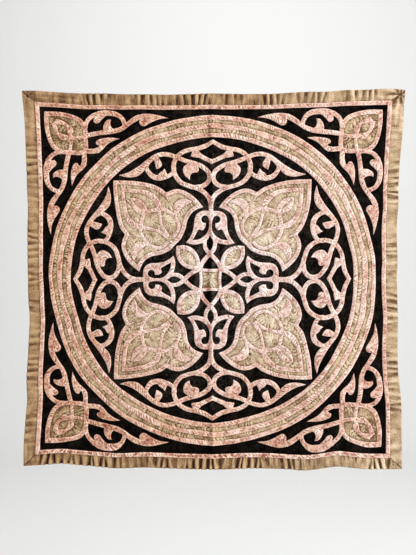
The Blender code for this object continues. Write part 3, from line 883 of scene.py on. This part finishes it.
def cloth_finish(kind):
    """Woven cotton: its colour is painted darker in the troughs of its puckers and lighter on their
    crests, as painted shade and highlight, and lighter in the painted pool of light; its threads show in
    colour and bump.
    """
    name = kind + "_finish"
    if name in bpy.data.materials:
        return bpy.data.materials[name]
    material, tree, shader = new_finish(name)
    specular, sheen, speckle, mottle = GROUND_FINISH if kind == "ground" else SEWN_FINISH
    shader.inputs["Specular IOR Level"].default_value = specular
    shader.inputs["Sheen Weight"].default_value = sheen
    shader.inputs["Sheen Roughness"].default_value = 0.5

    place = new_node(tree, "ShaderNodeTexCoord", -1400, 0).outputs["Object"]
    tone = new_node(tree, "ShaderNodeAttribute", -1100, 320, attribute_name="tone").outputs["Fac"]
    fade = new_node(tree, "ShaderNodeAttribute", -700, 420, attribute_name="fade").outputs["Fac"]
    blotch = blotches(tree, 60, place, THREAD_SCALE, 3.0, 0.6)
    patch = blotches(tree, -160, place, PATCH_SCALE, 2.0, 0.5)
    fine = worked_out(tree, "MULTIPLY_ADD", -900, 120, blotch, speckle, -speckle / 2)
    broad = worked_out(tree, "MULTIPLY_ADD", -900, -60, patch, mottle, -mottle / 2)
    both = worked_out(tree, "ADD", -740, 60, fine, broad)
    level = worked_out(tree, "MULTIPLY_ADD", -740, 220, tone, 0.5, 0.5)
    total = worked_out(tree, "ADD", -580, 180, level, both, use_clamp=True)
    outside_pool_colours, inside_pool_colours = finish_colours(kind)
    # The colours lit by the painted pool of light are mixed in where it falls
    lit_mix = new_node(tree, "ShaderNodeMix", -140, 300, data_type="RGBA", Factor=fade,
                     A=colour_ramp(tree, total, outside_pool_colours, -420, 360),
                     B=colour_ramp(tree, total, inside_pool_colours, -420, 120))
    tree.links.new(lit_mix.outputs["Result"], shader.inputs["Base Color"])

    warp, weft = threads(tree, -400, place, "X"), threads(tree, -640, place, "Z")
    weave = worked_out(tree, "MAXIMUM", -900, -500, warp, weft)
    fuzz = worked_out(tree, "MULTIPLY_ADD", -740, -420, blotch, 0.8, weave)
    bump = new_node(tree, "ShaderNodeBump", -420, -320, Strength=0.35, Distance=WEAVE_HEIGHT, Height=fuzz)
    tree.links.new(bump.outputs["Normal"], shader.inputs["Normal"])
    return material


def studio_finish():
    """Smooth pale paper, very slightly mottled."""
    material, tree, shader = new_finish("studio_finish")
    colour = tuple(bpy.context.scene.hanging_stage.studio_colour)
    mottle = new_node(tree, "ShaderNodeTexNoise", -600, 0, Scale=3.0, Detail=2.0)
    mix = new_node(tree, "ShaderNodeMix", -300, 0, data_type="RGBA", Factor=mottle.outputs["Fac"],
                   A=(*(0.98 * part for part in colour), 1.0), B=(*colour, 1.0))
    tree.links.new(mix.outputs["Result"], shader.inputs["Base Color"])
    return material


# Making the pieces

def light_pool_share(places, on_right=0.4):
    """How much painted light falls on the cloth: a painted pool of light about the middle, and more
    painted light on the right.
    """
    pool = 0.95 * hump(np.hypot(*(places - LIGHT_POOL_MIDDLE).T), LIGHT_POOL_REACH)
    right = on_right * rightward(places, 180.0, 90.0)
    return unit(pool + right + 0.10 * ripple(places, 40.0, 5))


def new_object(name, data):
    """A new object in the scene."""
    made = bpy.data.objects.new(name, data)
    bpy.context.scene.collection.objects.link(made)
    return made


def new_surface(name, points, faces, finish):
    """A new smooth surface in the scene, with its finish."""
    mesh = bpy.data.meshes.new(name)
    mesh.from_pydata(points, [], faces)
    mesh.shade_smooth()
    mesh.materials.append(finish)
    return new_object(name, mesh)


def add_piece(name, kind, points, faces, tone, fade):
    """A cloth piece that rides on the frame."""
    piece = new_surface(name, points.tolist(), faces.tolist(), cloth_finish(kind))
    # The storage crease's painted shade and highlight go into every piece's tone
    tone = tone + crease_shade(in_mm(points[:, 0]), in_mm(points[:, 2]) + TOP_MIDDLE)
    for attribute, values in (("tone", tone), ("fade", fade)):
        layer = piece.data.attributes.new(attribute, "FLOAT", "POINT")
        layer.data.foreach_set("value", np.asarray(values, dtype=np.float32))
    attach(piece, "root")
    if kind in FREE_CLOTHS:
        add_thickness(piece)
    return piece


def add_thickness(piece):
    """Gives a sheet its thickness, behind its front."""
    modifier = piece.modifiers.new("cloth thickness", "SOLIDIFY")
    modifier.thickness = SHEET_THICK * MM
    modifier.offset = -1.0


def turned_places(places, turns):
    """Flat places turned about the centre by quarter turns."""
    for _ in range(turns):
        places = np.stack((-places[:, 1], places[:, 0]), axis=1)
    return places


def flecks(cut, places, width, length, seed):
    """Small random dips, drawn out slantwise across the strap, from 0 to 1."""
    x = (cut.along + 0.8 * cut.across) / width + places[:, 0] / 311.0
    z = (cut.across - 0.3 * cut.along) / length + places[:, 1] / 173.0
    return unit(lumps(x, z, seed))


def pink_sewing(cut, places):
    """Rise and tone of a puckered strap's points, which are now at these places."""
    look = cloth_settings()
    pitch, depth, top = in_mm(look.strap_pitch), in_mm(look.strap_pucker), in_mm(look.strap_rise)
    turned = rounded(cut.edge / TURNED_EDGE)
    inner = unit((cut.edge - 0.8) / 2.2)
    way = (cut.along + 0.8 * cut.across + 3.4 * ripple(places, 15.0, 31)) / pitch
    wave = puckers(way) * np.clip(0.50 + 1.0 * ripple(places, 20.0, 32), 0.0, 1.5)
    spots = flecks(cut, places, 2.6, 6.0, 33)
    crumple, broad = ripple(places, 2.8, 34), ripple(places, 8.0, 35)
    dents = wave * (0.4 + 0.6 * inner) - 0.5 * spots * inner
    rise = cut.foot + (top - cut.foot + depth * dents + 0.12 * crumple) * turned
    # The tone paints shade in the troughs and dips and a highlight on the crests and crumples, with
    # random broad mottling; it paints a highlight along the turned edge and shade at its very foot
    tone = 0.05 + (0.66 * wave - 0.8 * spots) * inner + 0.30 * crumple + 0.25 * broad
    return rise, tone + 0.5 * hump(cut.edge - 1.3, 0.9) - fading(cut.edge, 0.35)


def tan_sewing(cut, places):
    """Rise and tone of a puffed and wrinkled cloth's points, which are now at these places."""
    look = cloth_settings()
    pitch, depth, puff = in_mm(look.cloth_pitch), in_mm(look.cloth_wrinkle), in_mm(look.cloth_rise)
    near = hump(cut.edge, 20.0)
    way = (cut.along + 0.5 * cut.edge + 4.0 * ripple(places, 15.0, 41)) / pitch
    radial = puckers(way) * np.clip(0.65 + 0.9 * ripple(places, 16.0, 42), 0.0, 1.6)
    creases = 0.9 * lumps(places[:, 0] / 5.0, places[:, 1] / 11.0, 43) + 0.4 * ripple(places, 4.0, 44)
    wave = near * radial + (1.0 - near) * creases
    spots = flecks(cut, places, 3.0, 8.0, 45)
    dents = (wave - 0.4 * spots) * unit(cut.edge / 1.5)
    rise = CLOTH_FOOT + puff * (1.0 - fading(cut.edge, 8.0)) + depth * dents
    # The tone paints shade in the troughs of the wrinkles and dips and a highlight on their crests,
    # random mottling with soft painted shade of the puffs, and painted shade along the edges where the
    # cloth is sewn down
    uneven = 0.3 * ripple(places, 3.0, 46) + 0.4 * ripple(places, 13.0, 47)
    seam = 0.7 * fading(cut.edge, 1.6) + 0.5 * fading(cut.edge, 6.0)
    return rise, 0.45 + 0.78 * wave - 0.5 * spots + uneven - seam


def sew(cut, kind, node, turns, base=None, name=None, darker=0.0):
    """Hangs a copy of a cut piece, turned by quarters, in place of a node of the frame."""
    places = turned_places(cut.places, turns)
    rise, tone = (tan_sewing if kind == "tan" else pink_sewing)(cut, places)
    if base is not None:
        rise = rise + base
    piece = add_piece(name or "sewn_" + node, kind, hung(places, rise), cut.triangles, tone - darker,
                      light_pool_share(places))
    if name is None:
        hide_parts(node)
    return piece


def motif(straps, leaves, turned):
    """The shapes of a pink motif and its mirror image, and the lines that its puckers follow."""
    outlines = both_sides([leaf(rows) for rows in leaves], turned)
    shapes = both_sides([shape for rows in straps for shape in strap(rows)], turned) + outlines
    lines = [(line, False, 0.0) for line in both_sides([flat_line(rows) for rows in straps], turned)]
    lines += [(anticlockwise(outline), True, FOLDED_STRAP) for outline in outlines]
    return shapes, lines


def feet_of(loops, cloths):
    """The height of each loop's edge: on the ground, or on the cloth that the loop holds."""
    return [CLOTH_FOOT if any(loop is cloth for cloth in cloths) else GROUND_FOOT for loop in loops]


def cloth_inside(loops, place, lines=()):
    """The cloth that fills the hole round a place, with its sewing along the rim and the lines."""
    hole = anticlockwise(hole_round(loops, place))
    return cut_cloth([hole], [CLOTH_FOOT], [(hole, True, 0.0), *lines])


def sewn_down(cloth, loops):
    """The cloth drawn down where the straps inside the loops are sewn on it."""
    _, gap = nearest([even_points(loop, True)[0] for loop in loops], cloth.places)
    clear = np.where(within(loops, cloth.places), 0.0, gap)
    return cloth._replace(edge=np.minimum(cloth.edge, clear))


def add_ringed_cloth(names, runs, reach, middle, extra, lines, narrow_straps, buds, slit, darker):
    """A pink rim round a tan cloth with narrow straps on it, four times round the centre."""
    rim_name, cloth_name, line_name = names
    rim_darker, cloth_darker = darker
    outline = runs_outline(runs, swapped)
    loops = pink_bands([(outline, rim_of(both_sides(runs, swapped), reach))], extra)
    lines = [(anticlockwise(outline), True, reach / 2), *lines]
    rim = cut_cloth(loops, feet_of(loops, [hole_round(loops, middle)]), lines)
    shapes, narrow_lines = motif(narrow_straps, buds, swapped)
    narrow_loops = pink_bands([], shapes, [runs_outline([slit], swapped)])
    narrow = cut_cloth(narrow_loops, [NARROW_FOOT] * len(narrow_loops), narrow_lines)
    cloth = sewn_down(cloth_inside(loops, middle, narrow_lines), narrow_loops)
    under, _ = nearest([cloth.places], narrow.places)
    for corner, turns in CORNERS:
        sew(rim, "pink", rim_name + corner, turns, darker=rim_darker)
        below = sew(cloth, "tan", cloth_name + corner, turns, darker=cloth_darker)
        base = tan_sewing(cloth, turned_places(cloth.places, turns))[0][under] - NARROW_SINK
        sew(narrow, "pink", None, turns, base, line_name + corner, rim_darker)


# Operators

class HANGING_OT_ground(bpy.types.Operator):
    """Lay the dark woven ground cloth"""
    bl_idname = "hanging.ground"
    bl_label = "Ground Cloth"

    def execute(self, context):
        reach = HALF - BORDER - SEAM_LAP
        line = np.linspace(-reach, reach, round(2 * reach / GROUND_STEP) + 1)
        x, z = np.meshgrid(line, line)
        places = np.stack((x.ravel(), z.ravel()), axis=1)
        rise = 0.22 * ripple(places, 14.0, 51) + 0.15 * ripple(places, 7.0, 52)
        piece = add_piece("sewn_ground", "ground", hung(places, rise), grid_faces(len(line), len(line)),
                          0.3 * ripple(places, 9.0, 53), light_pool_share(places, 0.0))
        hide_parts("ground_panel")
        return {"FINISHED"}


def grid_faces(rows, columns):
    """Four-sided faces of a grid whose points go row by row."""
    number = np.arange(rows * columns).reshape(rows, columns)
    corners = (number[:-1, :-1], number[:-1, 1:], number[1:, 1:], number[1:, :-1])
    return np.stack(corners, axis=-1).reshape(-1, 4)


def side_grid(side, distances):
    """Places and faces of a grid along one side of the panel, and the shares along its rows."""
    s = np.linspace(-1.0, 1.0, round(2 * HALF / EDGE_STEP) + 1)
    rows = []
    for distance in distances:
        along, out = s * distance, np.full(len(s), distance)
        rows.append({"bottom": (along, -out), "right": (out, along),
                     "top": (-along, out), "left": (-out, -along)}[side])
    places = np.concatenate([np.stack(row, axis=1) for row in rows])
    return places, grid_faces(len(rows), len(s)), s


def crest_rows(side, along, shares):
    """The phase of the gathers, in turns, at each place along a side, and how far they have begun."""
    count, _, start, end = GATHERS[side]
    draw = np.random.default_rng(GATHER_SEED + count)
    low, high = start - HALF, HALF - end
    steps = np.arange(count + 1)
    pitch = (high - low) / count
    outer = low + (steps + draw.uniform(-GATHER_SPREAD, GATHER_SPREAD, count + 1)) * pitch
    inner = outer + draw.uniform(-GATHER_SLANT, GATHER_SLANT, count + 1) * pitch
    phases = [np.interp(row, outer + (inner - outer) * share, steps) for row, share in zip(along, shares)]
    begun = unit((along - low) / GATHER_EASE) * unit((high - along) / GATHER_EASE)
    return np.concatenate(phases), begun.ravel()


def gathers(places, phase, share):
    """The waves of the gathers, which narrow inward, and the pinched valleys between them."""
    swell = np.clip(0.80 + 0.8 * ripple(places, 36.0, 61), 0.1, 1.6)
    broad = np.sin(phase * math.tau) + 0.35 * np.sin(2 * phase * math.tau + 1.0)
    narrow = np.sin(3 * phase * math.tau + 2.0 * ripple(places, 20.0, 62))
    wave = broad * (1.0 - 0.45 * share) + 0.35 * narrow * share
    return wave * swell, hump(phase % 1.0 - 0.5, 0.09) * swell


def gathered(side, s, places):
    """Rise and tone of a border strip: V-shaped gathers that narrow towards its seam."""
    depth = GATHERS[side][1]
    along = s[None, :] * (HALF - BORDER * BORDER_ROWS)[:, None]
    phase, begun = crest_rows(side, along, BORDER_ROWS)
    along, share = along.ravel(), np.repeat(BORDER_ROWS, len(s))
    wave, pinch = (values * begun for values in gathers(places, phase, share))
    lengthwise = np.sin(share * math.tau * 2.0 + 2.0 * lumps(along / 170.0, share, 63)) * (1.0 - begun)
    drawn = lumps(along / 3.2, share * 1.6, 64) * min(1.0, depth / 2.4)
    shaded_lumps = ripple(places, 13.0, 65)
    hem, turned = hump(share - 0.10, 0.05), fading(share, 0.03)
    rise = depth * cloth_settings().gather_scale * wave * (1.0 - 0.5 * share**3) - 0.5 * pinch
    rise = rise + 0.4 * lengthwise + 0.35 * hem + 0.18 * drawn + 0.2 * shaded_lumps - turned
    # The tone paints shade in the valleys of the gathers, folds and lumps and a highlight on their
    # crests, painted shade along the turned outer edge, and is darker along the inner seam and the mitres
    tone = 0.40 * depth * wave - 0.6 * pinch + 0.25 * lengthwise + 0.3 * drawn + 0.25 * shaded_lumps
    tone = tone - 0.5 * turned - 0.9 * fading(1.0 - share, 0.05)
    mitre = hump(np.abs(places[:, 0]) - np.abs(places[:, 1]), 2.2)
    return pinned(places, rise - 0.5 * mitre, tone - 0.9 * mitre)


def pinned(places, rise, tone):
    """Adds the pin holes in the top corners and the creases that run from them."""
    for number, (px, pz, strength) in enumerate(PINS):
        x, z = places[:, 0] - px, places[:, 1] - pz
        away, turn = np.hypot(x, z), np.arctan2(z, x)
        fan = np.sin(7 * turn + 1.3 * number + 0.8 * ripple(places, 12.0, 66))
        creases = fan * fading(away, 22.0) * unit(away / 6.0)
        hole, ring, dark = hump(away, 2.6), hump(away - 5.5, 1.8), hump(away, 18.0)
        rise = rise + (0.7 + 0.5 * strength) * creases - 1.2 * hole + 0.4 * ring
        # The tone paints shade and highlight along the creases and a highlight on the raised ring, and is
        # darker in the hole and round the pin
        tone = tone + strength * (0.75 * creases - 0.45 * dark) - 3.0 * hole + 0.5 * ring
    return rise, tone


class HANGING_OT_border(bpy.types.Operator):
    """Gather the four khaki border strips"""
    bl_idname = "hanging.border"
    bl_label = "Gathered Border"

    def execute(self, context):
        for side in GATHERS:
            places, faces, s = side_grid(side, HALF - (BORDER + 2 * SEAM_LAP) * BORDER_ROWS)
            rise, tone = gathered(side, s, places)
            # The border is painted lighter towards the right and along some sides, as painted light
            piece = add_piece("sewn_border_" + side, "khaki", hung(places, rise), faces,
                              tone + PAINTED_LIGHT_SIDES[side], rightward(places, 320.0, 100.0))
            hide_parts("border_" + side)
        return {"FINISHED"}


class HANGING_OT_strips(bpy.types.Operator):
    """Sew the narrow pink strip inside the border"""
    bl_idname = "hanging.strips"
    bl_label = "Inner Strips"

    def execute(self, context):
        outer, width = HALF - BORDER + SEAM_LAP, STRIP + 2 * SEAM_LAP
        for side in GATHERS:
            places, faces, s = side_grid(side, outer - width * STRIP_ROWS)
            share = np.repeat(STRIP_ROWS, len(s))
            edge = np.minimum(share, 1.0 - share) * width
            along, across = np.tile(s * outer, len(STRIP_ROWS)), (share - 0.5) * width
            cut = Cut(places, faces, edge, np.full(len(places), GROUND_FOOT), along, across, 0.0)
            rise, tone = pink_sewing(cut, places)
            # The strip's painted shade and highlight are scaled along each side, and it is painted
            # lighter along some sides, as painted light
            tone = tone * STRIP_SHADE_CONTRAST[side] + PAINTED_LIGHT_SIDES[side] - STRIP_DEPTH
            piece = add_piece("sewn_strip_" + side, "pink", hung(places, rise), faces, tone,
                              light_pool_share(places))
            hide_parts("strip_" + side)
        return {"FINISHED"}


def wandering_circle(radius):
    """A seam of the ring, as uneven as it was sewn, or one of its two plain edges."""
    turns = np.linspace(0.0, math.tau, round(radius * math.tau / LONGEST_SIDE), endpoint=False)
    reach = np.full(len(turns), radius)
    if radius in SEAM_SHIFT:
        x, z = radius * np.cos(turns), radius * np.sin(turns)
        wander = lumps(x / SEAM_LUMPS, z / SEAM_LUMPS, int(radius))
        reach = radius + SEAM_SHIFT[radius] + SEAM_WANDER * np.clip(wander, -1.0, 1.0)
    return [(r * math.cos(a), r * math.sin(a)) for r, a in zip(reach.tolist(), turns.tolist())]


class HANGING_OT_ring(bpy.types.Operator):
    """Sew the five bands of the large ring"""
    bl_idname = "hanging.ring"
    bl_label = "Ring"

    def execute(self, context):
        for node, inner, outer, kind in RING_BANDS:
            loops = [wandering_circle(outer), wandering_circle(inner)[::-1]]
            feet = [GROUND_FOOT if radius in RING_REACH else CLOTH_FOOT for radius in (outer, inner)]
            line = circle(0.0, 0.0, (inner + outer) / 2, GUIDE_SIDES)
            sew(cut_cloth(loops, feet, [(line, True, 0.0)]), kind, node, 0)
        return {"FINISHED"}


class HANGING_OT_palmettes(bpy.types.Operator):
    """Sew the four large palmettes and the narrow straps on them"""
    bl_idname = "hanging.palmettes"
    bl_label = "Palmettes"

    def execute(self, context):
        names = ("palmette_rim_", "palmette_cloth_", "palmette_lines_")
        add_ringed_cloth(names, PALMETTE_RUNS, PALMETTE_RIM, PALMETTE_MIDDLE, [], [],
                         PALMETTE_LINES, PALMETTE_BUDS, PALMETTE_SLIT, (0.0, 0.0))
        return {"FINISHED"}


class HANGING_OT_corners(bpy.types.Operator):
    """Sew the four corner scrolls and the cloths that they hold"""
    bl_idname = "hanging.corners"
    bl_label = "Corner Scrolls"

    def execute(self, context):
        names = ("corner_scroll_", "corner_cloth_", "corner_lines_")
        shapes, lines = motif(ARM_STRAPS, ARM_LEAVES, swapped)
        add_ringed_cloth(names, CORNER_RUNS, CORNER_RIM, CORNER_MIDDLE, shapes, lines,
                         CORNER_LINES, CORNER_BUDS, CORNER_SLIT,
                         (CORNER_RIM_DEPTH, CORNER_CLOTH_DEPTH))
        return {"FINISHED"}


class HANGING_OT_scrolls(bpy.types.Operator):
    """Sew the four scrolls on the axes"""
    bl_idname = "hanging.scrolls"
    bl_label = "Axis Scrolls"

    def execute(self, context):
        shapes, lines = motif(SCROLL_STRAPS, SCROLL_LEAVES, mirrored)
        loops = pink_bands([], shapes)
        cut = cut_cloth(loops, [GROUND_FOOT] * len(loops), lines)
        for place, turns in QUARTERS:
            sew(cut, "pink", "scroll_" + place, turns)
        return {"FINISHED"}


def star_drawing():
    """The loops of the star's pink bands, and the lines that their puckers follow."""
    arm, lines = motif(STAR_STRAPS, [STAR_LOBE], mirrored)
    dark = both_sides([leaf(STAR_SLIVER), circle(*STAR_EYE, EYE_SIDES)], mirrored)
    leaf_rim = rim_of(both_sides([STAR_LEAF], swapped), LEAF_RIM)
    outlines, all_lines = [], []
    for turns in range(4):
        outline = quarter_turned([runs_outline([STAR_LEAF], swapped)], turns)[0]
        outlines.append((outline, quarter_turned(leaf_rim, turns)))
        all_lines.append((anticlockwise(outline), True, LEAF_RIM / 2))
        all_lines += [(quarter_turned([line], turns)[0], *rest) for line, *rest in lines]
    square = [p for side in in_quarters([flat_line(STAR_SQUARE)[:-1]]) for p in side]
    outlines.append((square, in_quarters(rim_of([STAR_SQUARE], SQUARE_RIM))))
    all_lines.append((anticlockwise(square), True, SQUARE_RIM / 2))
    return pink_bands(outlines, in_quarters(arm), in_quarters(dark)), all_lines


class HANGING_OT_star(bpy.types.Operator):
    """Sew the star, its four tan leaves and its middle square"""
    bl_idname = "hanging.star"
    bl_label = "Star"

    def execute(self, context):
        bands, lines = star_drawing()
        centre = (0.0, 0.0)
        middles = [quarter_turned([[STAR_LEAF_MIDDLE]], turns)[0][0] for _, turns in CORNERS]
        holes = [hole_round(bands, middle) for middle in [*middles, centre]]
        sew(cut_cloth(bands, feet_of(bands, holes), lines), "pink", "star_bands", 0)
        for (place, _), middle in zip(CORNERS, middles):
            sew(cloth_inside(bands, middle), "tan", "star_leaf_" + place, 0)
        sew(cloth_inside(bands, centre), "tan", "star_square", 0, darker=SQUARE_DEPTH)
        return {"FINISHED"}


# The studio, in metres

# Lights: (name, place, what it faces, size), where None stands for the panel's middle
LIGHTS = (
    ("key_light", (3.2, -1.7, -0.25), None, 0.9),
    ("fill_light", (-2.0, -2.2, -0.5), None, 2.2),
    ("backdrop_light", (0.3, 0.3, 2.4), (0.1, 4.4, -0.9), 3.5),
)
SKY_COLOUR = shade(244, 244, 246)
SKY_STRENGTH = 0.30
# Where the camera stands, beside and above the panel's middle
CAMERA_ASIDE = -0.0133
CAMERA_ABOVE = 0.004
# Floor and backdrop, and the bend that joins them
FLOOR_LEVEL = -1.7
FLOOR_FRONT = -4.5
BACKDROP_PLACE = 4.4
BACKDROP_TOP = 3.4
BACKDROP_HALF = 7.0
BEND_RADIUS = 1.4
BEND_STEPS = 16


def add_light(name, place, target, size, power):
    """A soft square light that faces a target."""
    data = bpy.data.lights.new(name, "AREA")
    data.size = size
    data.energy = power
    lamp = new_object(name, data)
    lamp.location = place
    lamp.rotation_euler = (Vector(target) - Vector(place)).to_track_quat("-Z", "Y").to_euler()


def add_backdrop():
    """A pale floor that curves up into a backdrop well behind the panel."""
    profile = [(FLOOR_FRONT, FLOOR_LEVEL)]
    for turn in np.linspace(0.0, math.pi / 2, BEND_STEPS + 1).tolist():
        profile.append((BACKDROP_PLACE - BEND_RADIUS * (1.0 - math.sin(turn)),
                        FLOOR_LEVEL + BEND_RADIUS * (1.0 - math.cos(turn))))
    profile.append((BACKDROP_PLACE, BACKDROP_TOP))
    points = [(side * BACKDROP_HALF, y, z) for y, z in profile for side in (-1, 1)]
    faces = [(2 * k, 2 * k + 1, 2 * k + 3, 2 * k + 2) for k in range(len(profile) - 1)]
    new_surface("backdrop", points, faces, studio_finish())


def add_camera(middle):
    """The camera, square to the panel."""
    stage = bpy.context.scene.hanging_stage
    camera = new_object("camera", bpy.data.cameras.new("camera"))
    camera.data.lens = stage.lens
    camera.location = (middle[0] + CAMERA_ASIDE, -stage.camera_distance, middle[2] + CAMERA_ABOVE)
    camera.rotation_euler = (math.radians(90.0), 0.0, 0.0)
    bpy.context.scene.camera = camera


class HANGING_OT_stage(bpy.types.Operator):
    """Set up the studio: floor and backdrop, lights and camera"""
    bl_idname = "hanging.stage"
    bl_label = "Studio"

    def execute(self, context):
        stage = context.scene.hanging_stage
        middle = (0.0, 0.0, -TOP_MIDDLE * MM)
        add_backdrop()
        powers = (stage.key_power, stage.fill_power, stage.backdrop_power)
        for (name, place, target, size), power in zip(LIGHTS, powers):
            add_light(name, place, target or middle, size, power)
        world = context.scene.world or bpy.data.worlds.new("studio")
        context.scene.world = world
        world.use_nodes = True
        sky = world.node_tree.nodes["Background"]
        sky.inputs["Color"].default_value = (*SKY_COLOUR, 1.0)
        sky.inputs["Strength"].default_value = SKY_STRENGTH
        context.scene.view_settings.view_transform = "Standard"
        add_camera(middle)
        return {"FINISHED"}


STEPS = (
    HANGING_OT_ground, HANGING_OT_border, HANGING_OT_strips, HANGING_OT_ring, HANGING_OT_palmettes,
    HANGING_OT_corners, HANGING_OT_scrolls, HANGING_OT_star, HANGING_OT_stage,
)


class HANGING_PT_panel(bpy.types.Panel):
    """The hanging's settings and the steps that sew it"""
    bl_idname = "HANGING_PT_panel"
    bl_label = "Applique Wall Hanging"
    bl_space_type = "VIEW_3D"
    bl_region_type = "UI"
    bl_category = "Hanging"

    def draw(self, context):
        for group in (context.scene.hanging_cloth, context.scene.hanging_stage):
            box = self.layout.box()
            for name in group.__annotations__:
                box.prop(group, name)
        for step in STEPS:
            self.layout.operator(step.bl_idname)


CLASSES = (HangingClothSettings, HangingStageSettings, *STEPS, HANGING_PT_panel)


def register():
    for item in CLASSES:
        bpy.utils.register_class(item)
    bpy.types.Scene.hanging_cloth = PointerProperty(type=HangingClothSettings)
    bpy.types.Scene.hanging_stage = PointerProperty(type=HangingStageSettings)


def unregister():
    del bpy.types.Scene.hanging_stage
    del bpy.types.Scene.hanging_cloth
    for item in reversed(CLASSES):
        bpy.utils.unregister_class(item)


def main():
    register()
    bpy.ops.hanging.ground()
    bpy.ops.hanging.border()
    bpy.ops.hanging.strips()
    bpy.ops.hanging.ring()
    bpy.ops.hanging.palmettes()
    bpy.ops.hanging.corners()
    bpy.ops.hanging.scrolls()
    bpy.ops.hanging.star()
    bpy.ops.hanging.stage()


if __name__ == "__main__":
    main()
